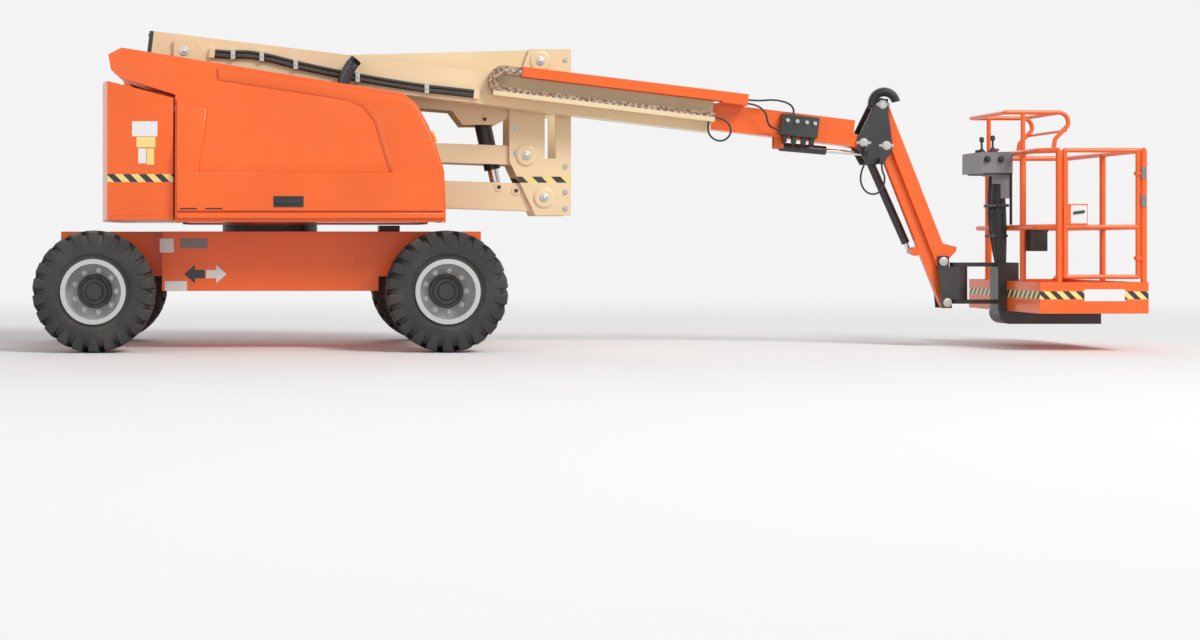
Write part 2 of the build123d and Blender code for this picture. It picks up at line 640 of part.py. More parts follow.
def exhaust():
    """Upright pipe on the deck with its top bent forwards."""
    pipe = along_z(EXHAUST_X, EXHAUST_Y, EXHAUST_RADIUS, DECK_TOP, EXHAUST_TOP)
    top = Pos(EXHAUST_X, EXHAUST_Y, EXHAUST_TOP) * Rot(0, EXHAUST_TURN, 0) * Cylinder(
        EXHAUST_RADIUS, 2 * EXHAUST_BEND, align=(Align.CENTER, Align.CENTER, Align.MIN))
    return pipe + top + Pos(EXHAUST_X, EXHAUST_Y, EXHAUST_TOP) * Sphere(EXHAUST_RADIUS)


ENGINE_Y = -(HOOD_INNER_Y + HOOD_OUTER_Y - HOOD_WALL) / 2
write("turntable_frame", turntable_frame())
write("counterweight", counterweight())
write("engine_block", Pos(ENGINE_X, ENGINE_Y, DECK_TOP + ENGINE_SIZE[2] / 2) * Box(*ENGINE_SIZE))
write("exhaust_stack", exhaust())
write("hood_near", hood(-1))
write("hood_far", hood(1))


# Tower

def bored(solid, pin, radius, y0, y1):
    """Running bore for a pin along Y."""
    return solid - along_y(pin, radius + PIN_CLEARANCE, y0, y1)


def lower_riser():
    """Channel, open above, between the turntable and the upright."""
    half = LOWER_RISER_HEIGHT / 2
    body = link_plate(LOWER_REAR, LOWER_FRONT, half, TOWER_Y - LINK_HALF, TOWER_Y + LINK_HALF)
    length = hypot(LOWER_FRONT[0] - LOWER_REAR[0], LOWER_FRONT[1] - LOWER_REAR[1])
    slope = degrees(atan2(LOWER_FRONT[1] - LOWER_REAR[1], LOWER_FRONT[0] - LOWER_REAR[0]))
    middle = between(LOWER_REAR, LOWER_FRONT, 0.5)
    trough = Pos(0, 0, RISER_SIDE) * Box(length + 4 * half, 2 * (LINK_HALF - RISER_SIDE), 2 * half)
    body -= Pos(middle[0], TOWER_Y, middle[1]) * Rot(0, -slope, 0) * trough
    for pin in (LOWER_REAR, LOWER_FRONT):
        body = bored(body, pin, TOWER_PIN_RADIUS, TOWER_NEAR, TOWER_FAR)
    return body


def timing_link():
    """Two bars above the lower riser, tied across by a round bar."""
    half = TIMING_HEIGHT / 2
    near, far = TOWER_Y - LINK_HALF, TOWER_Y + LINK_HALF
    body = link_plate(TIMING_REAR, TIMING_FRONT, half, near, near + TIMING_BAR)
    body += link_plate(TIMING_REAR, TIMING_FRONT, half, far - TIMING_BAR, far)
    body += along_y(between(TIMING_REAR, TIMING_FRONT, 0.4), TOWER_PIN_RADIUS, near, far)
    for pin in (TIMING_REAR, TIMING_FRONT):
        body = bored(body, pin, TOWER_PIN_RADIUS, TOWER_NEAR, TOWER_FAR)
    return body


def upright():
    """Two plates that carry the front pins of the lower riser, timing link and upper riser."""
    cut_x, cut_z = UPRIGHT_CHAMFER
    outline = [(UPRIGHT_REAR + cut_x, UPRIGHT_BOTTOM), (UPRIGHT_FRONT, UPRIGHT_BOTTOM),
               (UPRIGHT_FRONT, UPRIGHT_TOP),
               (UPPER_FRONT[0] - PLATE_EDGE, UPRIGHT_TOP), (UPRIGHT_REAR, UPPER_FRONT[1] - 4 * PLATE_EDGE),
               (UPRIGHT_REAR, UPRIGHT_BOTTOM + cut_z)]
    slot_x = (UPRIGHT_FRONT + UPPER_FRONT[0]) / 2 - PLATE_EDGE / 2
    slot_z = between(TIMING_FRONT, UPPER_FRONT, 0.2)[1]
    body = None
    for y0 in (TOWER_NEAR - TOWER_PLATE, TOWER_FAR):
        side = plate(outline, y0, y0 + TOWER_PLATE)
        side -= span(slot_x - PLATE_EDGE / 2, slot_x + PLATE_EDGE / 2, y0, y0 + TOWER_PLATE,
                     slot_z - 2 * PLATE_EDGE,
                     slot_z + 2 * PLATE_EDGE)
        body = side if body is None else body + side
    for pin in (LOWER_FRONT, TIMING_FRONT, UPPER_FRONT):
        body += tower_pin(pin, TOWER_NEAR - TOWER_PLATE, TOWER_FAR + TOWER_PLATE)
    return body


def upper_riser():
    """Inverted channel from the upright back to the boom knuckle, with the tower cylinder's bracket."""
    (fx, fz), (rx, rz) = UPPER_FRONT, UPPER_REAR
    edge = UPPER_END_RADIUS
    px, pz = TOWER_CYL_TOP
    low = fz + edge - UPPER_RISER_DEPTH
    outline = [(rx, rz + edge), (fx, fz + edge - SIDE_GAP), (fx, fz - edge), (px + 2 * PLATE_EDGE, pz),
               (px + PLATE_EDGE, pz - PLATE_EDGE / 2), (px - 2 * PLATE_EDGE, pz - PLATE_EDGE / 2),
               (px - 3 * PLATE_EDGE, low), (rx + 2 * UPPER_RISER_DEPTH, low + PLATE_EDGE), (rx, rz - edge)]
    near, far = TOWER_Y - LINK_HALF, TOWER_Y + LINK_HALF
    body = plate(outline, near, far)
    body += along_y(UPPER_REAR, edge, near, far)
    channel = [(rx - 2 * edge, rz + edge - RISER_SIDE), (fx + 2 * edge, fz + edge - SIDE_GAP - RISER_SIDE),
               (fx + 2 * edge, low - 2 * edge), (rx - 2 * edge, low - 2 * edge)]
    body -= plate(channel, near + RISER_SIDE, far - RISER_SIDE)
    nose = along_y(UPPER_FRONT, edge - SIDE_GAP, near, far)
    body += nose - along_y(UPPER_FRONT, edge, near + RISER_SIDE, far - RISER_SIDE)
    body = bored(body, TOWER_CYL_TOP, CYL_PIN_RADIUS, near, far)
    for pin in (UPPER_FRONT, UPPER_REAR):
        body = bored(body, pin, TOWER_PIN_RADIUS, TOWER_NEAR, TOWER_FAR)
    return body


write("lower_riser", lower_riser())
write("timing_link", timing_link())
write("upright", upright())
write("upper_riser", upper_riser())


# Cylinders: each is a barrel with an eye at its foot and a rod with an eye at its far end

def eye(point, y, half_width, pin_radius, slack):
    """Round eye along Y with a bore."""
    ring = along_y(point, pin_radius * EYE_FACTOR, y - half_width, y + half_width)
    return ring - along_y(point, pin_radius + slack, y - half_width, y + half_width)


def barrel(foot, tip, y, radius, bore, start, stop, pin_radius):
    """Cylinder barrel from start to stop along the line from its foot pin, bored from its mouth."""
    floor = start + radius
    tube = rod(with_y(reach(foot, tip, start), y), with_y(reach(foot, tip, stop), y), radius)
    tube -= rod(with_y(reach(foot, tip, floor), y), with_y(reach(foot, tip, stop), y), bore + PIN_CLEARANCE)
    tube += along_y(foot, pin_radius * EYE_FACTOR, y - radius / 2, y + radius / 2)
    return bored(tube, foot, pin_radius, y - radius, y + radius)


def piston_rod(foot, tip, y, radius, start, pin_radius, slack):
    """Rod from start to the far pin, with an eye there."""
    length = hypot(tip[0] - foot[0], tip[1] - foot[1])
    bar_end = reach(foot, tip, length - pin_radius * 1.2)
    bar = rod(with_y(reach(foot, tip, start), y), with_y(bar_end, y), radius)
    return bar + eye(tip, y, radius, pin_radius, slack)


def tower_barrel():
    """Barrel of the two-stage tower cylinder, on trunnions in the upper riser's sides."""
    top, foot, y = TOWER_CYL_TOP, TOWER_CYL_FOOT, TOWER_Y
    stop = TOWER_BARREL_DOWN
    head = reach(top, foot, -TOWER_BARREL_UP)
    tube = rod(with_y(head, y), with_y(reach(top, foot, stop), y), TOWER_CYL_RADIUS)
    hole_start = reach(top, foot, CYL_PIN_RADIUS + RISER_SIDE - TOWER_BARREL_UP)
    tube -= rod(with_y(hole_start, y), with_y(reach(top, foot, stop), y), TOWER_STAGE_RADIUS + PIN_CLEARANCE)
    for way in (-1, 1):
        side_gap = y + way * (LINK_HALF - RISER_SIDE - SEAT_GAP)
        y0, y1 = sorted((y + way * (TOWER_STAGE_RADIUS + 2), side_gap))
        tube += along_y(top, CYL_PIN_RADIUS * EYE_FACTOR, y0, y1)
        y0, y1 = sorted((side_gap, y + way * LINK_HALF))
        tube += along_y(top, CYL_PIN_RADIUS, y0, y1)
    return tube


def tower_stage():
    """Middle stage: a tube from inside the barrel to just below its mouth."""
    top, foot, y = TOWER_CYL_TOP, TOWER_CYL_FOOT, TOWER_Y
    start = 2 * CYL_PIN_RADIUS + RISER_SIDE - TOWER_BARREL_UP
    stop = TOWER_BARREL_DOWN + TOWER_STAGE_STEP
    tube = rod(with_y(reach(top, foot, start), y), with_y(reach(top, foot, stop), y), TOWER_STAGE_RADIUS)
    hole = reach(top, foot, start + CYL_PIN_RADIUS)
    return tube - rod(with_y(hole, y), with_y(reach(top, foot, stop), y), TOWER_ROD_RADIUS + PIN_CLEARANCE)


def tower_rod():
    """Rod from inside the middle stage to the open eye at the lower riser's pin."""
    start = 4 * CYL_PIN_RADIUS + RISER_SIDE - TOWER_BARREL_UP
    return piston_rod(TOWER_CYL_TOP, TOWER_CYL_FOOT, TOWER_Y, TOWER_ROD_RADIUS, start,
                      CYL_PIN_RADIUS, EYE_SLACK)


write("tower_cyl_barrel", tower_barrel())
write("tower_cyl_stage", tower_stage())
write("tower_cyl_rod", tower_rod())


# Boom knuckle at the upper riser's rear end

BOOM_NEAR = BOOM_Y - BOOM_WIDTH / 2
BOOM_FAR = BOOM_Y + BOOM_WIDTH / 2


def boom_knuckle():
    """Three plates on the riser's rear pin, the boom's pin and the lift cylinder's foot pin."""
    (bx, bz), (ux, uz), (cx, cz) = BOOM_PIN, UPPER_REAR, LIFT_FOOT
    edge = KNUCKLE_EDGE
    outline = [(bx - edge, uz - edge), (bx - edge, bz + edge), (bx + edge, bz + edge), (cx + edge, uz - edge),
               (cx + edge, cz - edge), (cx - edge, cz - edge), (cx - edge, cz + edge)]
    near = BOOM_NEAR - SIDE_GAP - KNUCKLE_PLATE
    middle = BOOM_FAR + SIDE_GAP
    far = TOWER_Y + LINK_HALF + SIDE_GAP
    rear_half = [(ux - edge, uz - edge), (ux - edge, uz + edge),
                 (ux + edge, uz + edge), (ux + edge, uz - edge)]
    body = plate(outline, near, near + KNUCKLE_PLATE) + plate(outline, middle, middle + KNUCKLE_PLATE)
    body += plate(rear_half, far, far + KNUCKLE_PLATE)
    body += tower_pin(UPPER_REAR, middle, far + KNUCKLE_PLATE)
    body += along_y(BOOM_PIN, BOOM_PIN_RADIUS, near, middle + KNUCKLE_PLATE)
    return body + along_y(LIFT_FOOT, CYL_PIN_RADIUS, near, middle + KNUCKLE_PLATE)


write("boom_knuckle", boom_knuckle())


# Main boom: drawn along X from its pin, then sloped

def sloped(solid):
    """Turn a piece drawn along the boom to the boom's slope and put it at the boom's pin."""
    return Pos(BOOM_PIN[0], BOOM_Y, BOOM_PIN[1]) * Rot(0, BOOM_SLOPE, 0) * solid


def boom_point(along, up):
    """(X, Z) of a point given along the boom and above its middle line."""
    turn = radians(-BOOM_SLOPE)
    return (BOOM_PIN[0] + along * cos(turn) - up * sin(turn),
            BOOM_PIN[1] + along * sin(turn) + up * cos(turn))


def hose_clamps():
    """Blocks on the boom's near side where its two hoses end."""
    out = -BOOM_WIDTH / 2 - BOOM_HOSE_GAP - 2 * BOOM_HOSE_RADIUS
    half = (BOOM_HOSE_PITCH + 2 * BOOM_HOSE_RADIUS) / 2 + SIDE_GAP / 2
    (start, low), (stop, high) = BOOM_HOSE_ROUTE[0], BOOM_HOSE_ROUTE[-1]
    rear = span(start - CLAMP_LENGTH, start, out, -BOOM_WIDTH / 2, low - half, low + half)
    return rear + span(stop, stop + CLAMP_LENGTH, out, -BOOM_WIDTH / 2, high - half, high + half)


def boom_hose(way):
    """One of the two hoses along the boom's near side."""
    y = -BOOM_WIDTH / 2 - BOOM_HOSE_GAP - BOOM_HOSE_RADIUS
    route = [(along, y, up + way * BOOM_HOSE_PITCH / 2) for along, up in BOOM_HOSE_ROUTE]
    return sloped(hose(route, BOOM_HOSE_RADIUS))


def main_boom():
    """Box with wear pads at its mouth, carrier trough and the lift cylinder's lugs."""
    half_z, half_y = BOOM_HEIGHT / 2, BOOM_WIDTH / 2
    body = span(BOOM_REAR, BOOM_FRONT, -half_y, half_y, -half_z, half_z)
    in_z, in_y = half_z - BOOM_WALL, half_y - BOOM_WALL
    body -= span(BOOM_REAR, BOOM_FRONT, -in_y, in_y, -in_z, in_z)
    pad_z, pad_y = FLY_HEIGHT / 2 + SEAT_GAP, FLY_WIDTH / 2 + SEAT_GAP
    pad = span(BOOM_FRONT - WEAR_PAD, BOOM_FRONT, -in_y, in_y, -in_z, in_z)
    body += pad - span(BOOM_FRONT - WEAR_PAD, BOOM_FRONT, -pad_y, pad_y, -pad_z, pad_z)
    body -= along_y((0, 0), BOOM_PIN_RADIUS + PIN_CLEARANCE, -half_y, half_y)
    shelf_top = -TROUGH_DROP
    floor = span(TROUGH_START, BOOM_FRONT, -half_y - TROUGH_WIDTH, -half_y,
                 shelf_top - TROUGH_PLATE, shelf_top)
    lip = span(TROUGH_START, BOOM_FRONT, -half_y - TROUGH_WIDTH, TROUGH_PLATE - half_y - TROUGH_WIDTH,
               shelf_top - TROUGH_PLATE, shelf_top + TROUGH_DEPTH / 2)
    body = sloped(body + floor + lip + hose_clamps())
    for way in (-1, 1):
        inner = LIFT_ROD_RADIUS + LIFT_GAP
        y0, y1 = sorted((BOOM_Y + way * inner, BOOM_Y + way * (inner + KNUCKLE_PLATE)))
        ex, ez = LIFT_EYE
        top = boom_point((ex - BOOM_PIN[0]), -half_z + BOOM_WALL / 2)
        ear = [(ex - KNUCKLE_EDGE, top[1]), (ex + KNUCKLE_EDGE, top[1] - BOOM_WALL),
               (ex + KNUCKLE_EDGE / 2, ez - KNUCKLE_EDGE / 2),
               (ex - KNUCKLE_EDGE / 2, ez - KNUCKLE_EDGE / 2)]
        body += plate(ear, y0, y1)
    return body


def tail_cap():
    """Plate that closes the boom's rear end."""
    half_z, half_y = BOOM_HEIGHT / 2, BOOM_WIDTH / 2
    return sloped(span(BOOM_REAR - TAIL_CAP, BOOM_REAR, -half_y, half_y, -half_z, half_z))


def lift_length():
    """Lift cylinder's length at rest, from pin to pin."""
    return hypot(LIFT_EYE[0] - LIFT_FOOT[0], LIFT_EYE[1] - LIFT_FOOT[1])


LIFT_BARREL_END = lift_length() - 4 * CYL_PIN_RADIUS
write("main_boom", main_boom())
write("boom_tail_cap", tail_cap())
write("lift_cyl_barrel", barrel(LIFT_FOOT, LIFT_EYE, BOOM_Y, LIFT_CYL_RADIUS, LIFT_ROD_RADIUS, CYL_PIN_RADIUS,
                                LIFT_BARREL_END, CYL_PIN_RADIUS))
write("lift_cyl_rod", piston_rod(LIFT_FOOT, LIFT_EYE, BOOM_Y, LIFT_ROD_RADIUS, 5 * CYL_PIN_RADIUS,
                                 CYL_PIN_RADIUS, EYE_SLACK))


# Fly boom with what it carries

def fly_boom():
    """Box inside the main boom, with two lugs at its nose for the jib knuckle."""
    half_z, half_y = FLY_HEIGHT / 2, FLY_WIDTH / 2
    body = span(FLY_REAR, FLY_NOSE, -half_y, half_y, -half_z, half_z)
    body -= span(FLY_REAR, FLY_NOSE, FLY_WALL - half_y, half_y - FLY_WALL,
                 FLY_WALL - half_z, half_z - FLY_WALL)
    pad_z, pad_y = BOOM_HEIGHT / 2 - BOOM_WALL - SEAT_GAP, BOOM_WIDTH / 2 - BOOM_WALL - SEAT_GAP
    pad = span(FLY_REAR, FLY_REAR + WEAR_PAD, -pad_y, pad_y, -pad_z, pad_z)
    body += pad - span(FLY_REAR, FLY_REAR + WEAR_PAD, -half_y, half_y, -half_z, half_z)
    body = sloped(body)
    top = boom_point(FLY_NOSE - 2 * FLY_LUG_RADIUS, 0)
    low = boom_point(FLY_NOSE - 3 * FLY_LUG_RADIUS, FLY_WALL - half_z)
    nose = boom_point(FLY_NOSE, 0)
    for way in (-1, 1):
        y0, y1 = sorted((BOOM_Y + way * (half_y - FLY_WALL), BOOM_Y + way * half_y))
        ear = plate([low, (FLY_PIVOT[0], FLY_PIVOT[1] - FLY_LUG_RADIUS),
                     (FLY_PIVOT[0], FLY_PIVOT[1] + FLY_LUG_RADIUS),
                     nose, top], y0, y1) + along_y(FLY_PIVOT, FLY_LUG_RADIUS, y0, y1)
        body += ear
        inside = LEVEL_CYL_RADIUS + LIFT_GAP / 2
        foot_y0, foot_y1 = sorted((BOOM_Y + way * inside, BOOM_Y + way * (inside + FLY_WALL)))
        (x, z), edge = LEVEL_FOOT, LEVEL_CYL_RADIUS
        under = boom_point((x - BOOM_PIN[0]) / cos(radians(BOOM_SLOPE)), FLY_WALL / 2 - half_z)[1]
        body += plate([(x - edge, under + FLY_WALL / 2), (x + edge, under),
                       (x + edge, z - edge / 2), (x - edge, z - edge / 2)],
                      foot_y0, foot_y1)
    pin_half = LEVEL_CYL_RADIUS + LIFT_GAP / 2 + FLY_WALL
    body += along_y(LEVEL_FOOT, CYL_PIN_RADIUS / 2, BOOM_Y - pin_half, BOOM_Y + pin_half)
    return bored(body, FLY_PIVOT, JIB_PIN_RADIUS, BOOM_Y - FLY_WIDTH, BOOM_Y + FLY_WIDTH)


write("fly_boom", fly_boom())


# Cable carrier: the lower run stays in the trough, the bend moves at half the fly's travel

CARRIER_OUT = -BOOM_WIDTH / 2 - (TROUGH_WIDTH + CARRIER_WIDTH) / 2
CARRIER_IN = CARRIER_OUT + CARRIER_WIDTH
CARRIER_BOTTOM = -TROUGH_DROP + SEAT_GAP
CARRIER_TOP = CARRIER_BOTTOM + CARRIER_BEND


def carrier_bend():
    """Half ring at the rear end of the carrier."""
    centre = (CARRIER_START, CARRIER_BOTTOM + CARRIER_BEND / 2)
    ring = along_y(centre, CARRIER_BEND / 2, CARRIER_OUT, CARRIER_IN)
    ring -= along_y(centre, CARRIER_BEND / 2 - CARRIER_HEIGHT, CARRIER_OUT, CARRIER_IN)
    return ring - span(CARRIER_START, CARRIER_START + CARRIER_BEND, CARRIER_OUT, CARRIER_IN,
                       CARRIER_BOTTOM, CARRIER_TOP)


def carrier_run(start, stop, low):
    """Straight run of the carrier: links along a narrower core."""
    high = low + CARRIER_HEIGHT
    run = span(start, stop, CARRIER_OUT + LINK_STEP, CARRIER_IN - LINK_STEP, low, high)
    links = []
    for index in range(int((stop - start) / LINK_PITCH)):
        x = start + index * LINK_PITCH
        links.append(span(x, x + LINK_PITCH - LINK_GAP, CARRIER_OUT, CARRIER_IN, low, high))
    return run + links


def carrier_lower():
    """Run in the trough, with the lower part of the bend."""
    run_top = CARRIER_BOTTOM + CARRIER_HEIGHT
    run = carrier_run(CARRIER_START, BOOM_FRONT, CARRIER_BOTTOM)
    heel = carrier_bend() & span(CARRIER_START - CARRIER_BEND, CARRIER_START, CARRIER_OUT, CARRIER_IN,
                                 CARRIER_BOTTOM, run_top)
    return sloped(run + heel)


def carrier_loop():
    """Upper run, with the upper part of the bend."""
    run_top = CARRIER_BOTTOM + CARRIER_HEIGHT
    run = carrier_run(CARRIER_START, CARRIER_START + CARRIER_UPPER, CARRIER_TOP - CARRIER_HEIGHT)
    toe = carrier_bend() & span(CARRIER_START - CARRIER_BEND, CARRIER_START, CARRIER_OUT, CARRIER_IN,
                                run_top + SEAT_GAP, CARRIER_TOP)
    return sloped(run + toe)


def carrier_tube():
    """Inverted channel round the upper run, on a bracket on top of the fly boom."""
    out, inn = CARRIER_OUT - 2 - TUBE_PLATE, CARRIER_IN + 2 + TUBE_PLATE
    top = CARRIER_TOP + SEAT_GAP + TUBE_PLATE
    low = CARRIER_TOP - CARRIER_HEIGHT - TUBE_PLATE
    body = span(TUBE_START, TUBE_END, out, inn, low, top)
    body -= span(TUBE_START, TUBE_END, out + TUBE_PLATE, inn - TUBE_PLATE, low, top - TUBE_PLATE)
    seat = FLY_HEIGHT / 2
    end = TUBE_END + 2 * TUBE_PLATE
    body += span(BOOM_FRONT + WEAR_PAD / 3, end, out, 0, seat, low)
    body += span(TUBE_END, end, out, inn, low, top)
    return sloped(body)


def valve_block():
    """Block on the fly boom's near side."""
    length, depth, height = VALVE_SIZE
    near = -FLY_WIDTH / 2
    along = (VALVE_X - BOOM_PIN[0]) / cos(radians(BOOM_SLOPE))
    return sloped(span(along - length / 2, along + length / 2, near - depth, near, -height / 2, height / 2))


write("carrier_lower", carrier_lower())
write("carrier_loop", carrier_loop())
write("carrier_tube", carrier_tube())
write("valve_block", valve_block())


# Hoses: plain tubes on one body each

def run_along_boom(route):
    """Hose with a route given along, above and across the boom."""
    return sloped(hose([(along, across, up) for along, up, across in route], SMALL_HOSE_RADIUS))


CARRIER_MIDDLE = (CARRIER_OUT + CARRIER_IN) / 2
write("boom_hose_upper", boom_hose(1))
write("boom_hose_lower", boom_hose(-1))
write("trough_hose", run_along_boom([(along, up, CARRIER_MIDDLE) for along, up in TROUGH_HOSE_ROUTE]))
write("tube_hose_upper", run_along_boom(TUBE_HOSE_UPPER))
write("tube_hose_lower", run_along_boom(TUBE_HOSE_LOWER))


# Jib knuckle, level cylinder and jib

JIB_SIDE = FLY_WIDTH / 2 + LIFT_GAP
JIB_END = (JIB_LENGTH * cos(radians(JIB_ANGLE)), JIB_LENGTH * sin(radians(JIB_ANGLE)))
ROTATOR_UPPER = (JIB_UPPER[0] + JIB_END[0], JIB_UPPER[1] + JIB_END[1])
ROTATOR_LOWER = (JIB_LOWER[0] + JIB_END[0], JIB_LOWER[1] + JIB_END[1])
JIB_CYL_Y = BOOM_Y + JIB_SIDE + JIB_PLATE + JIB_CYL_RADIUS + LIFT_GAP


def jib_knuckle():
    """Two plates outside the fly's lugs, with the pivot pin and the jib arms' pins."""
    (px, pz), (ux, uz), (lx, lz), (cx, cz) = FLY_PIVOT, JIB_UPPER, JIB_LOWER, JIB_CYL_FOOT
    edge = JIB_LUG
    outline = [(px - edge, pz - edge), (px - edge, pz + edge), (ux - edge, uz + edge), (ux + edge, uz + edge),
               (ux + edge, uz - edge), (lx + edge, lz + edge), (lx + edge, lz - edge), (cx + edge, cz - edge),
               (cx - 2 * edge, cz - edge)]
    body = None
    for way in (-1, 1):
        y0, y1 = sorted((BOOM_Y + way * JIB_SIDE, BOOM_Y + way * (JIB_SIDE + JIB_PLATE)))
        side = plate(outline, y0, y1)
        body = side if body is None else body + side
    for pin in (FLY_PIVOT, JIB_UPPER, JIB_LOWER):
        body += along_y(pin, JIB_PIN_RADIUS, BOOM_Y - JIB_SIDE - JIB_PLATE, BOOM_Y + JIB_SIDE + JIB_PLATE)
    half = FITTING_HALF
    for x, z in (KNUCKLE_HOSE_ROUTE[0], KNUCKLE_HOSE_ROUTE[-1]):
        body += span(x - half, x + half, KNUCKLE_HOSE_Y - half, BOOM_Y - JIB_SIDE - JIB_PLATE,
                     z, z + 2 * half)
    return body + along_y(JIB_CYL_FOOT, JIB_PIN_RADIUS, BOOM_Y + JIB_SIDE, JIB_CYL_Y + JIB_CYL_RADIUS)


def jib_upper_arm():
    """Two bars outside the lower arm, tied by a sleeve at each pin."""
    start = JIB_LOWER_WIDTH / 2 + JIB_INNER_GAP
    half = JIB_UPPER_HEIGHT / 2
    body = None
    for way in (-1, 1):
        y0, y1 = sorted((BOOM_Y + way * start, BOOM_Y + way * (start + JIB_BAR)))
        bar = link_plate(JIB_UPPER, ROTATOR_UPPER, half, y0, y1)
        body = bar if body is None else body + bar
    for pin in (JIB_UPPER, ROTATOR_UPPER):
        body += along_y(pin, JIB_PIN_RADIUS + RISER_SIDE, BOOM_Y - start, BOOM_Y + start)
    for pin in (JIB_UPPER, ROTATOR_UPPER):
        body = bored(body, pin, JIB_PIN_RADIUS, BOOM_Y - JIB_SIDE, BOOM_Y + JIB_SIDE)
    return body


def jib_cyl_eye():
    """(X, Z) of the jib cylinder's rod pin, below the lower arm."""
    turn = radians(JIB_ANGLE)
    return (JIB_LOWER[0] + JIB_CYL_REACH * cos(turn) + JIB_CYL_OFFSET * sin(turn),
            JIB_LOWER[1] + JIB_CYL_REACH * sin(turn) - JIB_CYL_OFFSET * cos(turn))


def jib_lower_arm():
    """Box arm with a lug beside the eye of the jib cylinder's rod."""
    half_y = JIB_LOWER_WIDTH / 2
    body = link_plate(JIB_LOWER, ROTATOR_LOWER, JIB_LOWER_HEIGHT / 2, BOOM_Y - half_y, BOOM_Y + half_y)
    foot = reach(JIB_LOWER, ROTATOR_LOWER, JIB_CYL_REACH)
    body += link_plate(foot, jib_cyl_eye(), JIB_PIN_RADIUS * 1.5, BOOM_Y - half_y, BOOM_Y + half_y)
    body += along_y(jib_cyl_eye(), JIB_PIN_RADIUS, BOOM_Y, JIB_CYL_Y - JIB_ROD_RADIUS - EYE_SLACK)
    for pin in (JIB_LOWER, ROTATOR_LOWER):
        body = bored(body, pin, JIB_PIN_RADIUS, BOOM_Y - JIB_SIDE, BOOM_Y + JIB_SIDE)
    return body


SMALL_PIN = CYL_PIN_RADIUS / 2
JIB_EYE = jib_cyl_eye()
JIB_CYL_LENGTH = hypot(JIB_EYE[0] - JIB_CYL_FOOT[0], JIB_EYE[1] - JIB_CYL_FOOT[1])
write("level_cyl_barrel", barrel(LEVEL_FOOT, LEVEL_EYE, BOOM_Y, LEVEL_CYL_RADIUS, LEVEL_ROD_RADIUS, SMALL_PIN,
                                 LEVEL_BARREL_END, SMALL_PIN))
write("level_cyl_rod", piston_rod(LEVEL_FOOT, LEVEL_EYE, BOOM_Y, LEVEL_ROD_RADIUS,
                                  LEVEL_BARREL_END * LEVEL_ROD_START, SMALL_PIN, EYE_SLACK))
write("jib_knuckle", jib_knuckle())
knuckle_route = [with_y(point, KNUCKLE_HOSE_Y) for point in KNUCKLE_HOSE_ROUTE]
write("knuckle_hose", hose(knuckle_route, SMALL_HOSE_RADIUS))
write("jib_upper_arm", jib_upper_arm())
write("jib_lower_arm", jib_lower_arm())
write("jib_cyl_barrel", barrel(JIB_CYL_FOOT, JIB_EYE, JIB_CYL_Y, JIB_CYL_RADIUS, JIB_ROD_RADIUS,
                               JIB_PIN_RADIUS,
                               JIB_CYL_LENGTH - 3 * JIB_PIN_RADIUS, JIB_PIN_RADIUS))
write("jib_cyl_rod", piston_rod(JIB_CYL_FOOT, JIB_EYE, JIB_CYL_Y, JIB_ROD_RADIUS, JIB_CYL_LENGTH / 4,
                                SMALL_PIN, EYE_SLACK))


# Rotator and platform support

def rotator():
    """Upright rotary actuator with two plates that carry the jib's pins."""
    (ux, uz), (lx, lz) = ROTATOR_UPPER, ROTATOR_LOWER
    edge = JIB_LUG
    body = along_z(ROTATOR_X, BOOM_Y, ROTATOR_RADIUS, ROTATOR_BOTTOM, ROTATOR_TOP)
    arm_reach = ROTATOR_X - SUPPORT_ARM_HALF - SIDE_GAP
    outline = [(lx - edge, lz - edge), (arm_reach, lz - edge), (arm_reach, ROTATOR_BOTTOM),
               (ROTATOR_X, ROTATOR_BOTTOM), (ROTATOR_X, ROTATOR_TOP), (ux + edge, ROTATOR_TOP),
               (ux + edge, uz + edge), (ux - edge, uz + edge), (ux - edge, uz - edge)]
    inner = JIB_SIDE - ROTATOR_PLATE
    for way in (-1, 1):
        y0, y1 = sorted((BOOM_Y + way * inner, BOOM_Y + way * JIB_SIDE))
        body += plate(outline, y0, y1)
    clear = span(0, ux + edge + JIB_LUG / 2, BOOM_Y - inner, BOOM_Y + inner, 0, FRAME_TOP)
    body -= clear
    for pin in (ROTATOR_UPPER, ROTATOR_LOWER):
        body += along_y(pin, JIB_PIN_RADIUS, BOOM_Y - JIB_SIDE, BOOM_Y + JIB_SIDE)
    return body - along_z(ROTATOR_X, BOOM_Y, ROTATOR_SHAFT + PIN_CLEARANCE, ROTATOR_BOTTOM, ROTATOR_TOP)


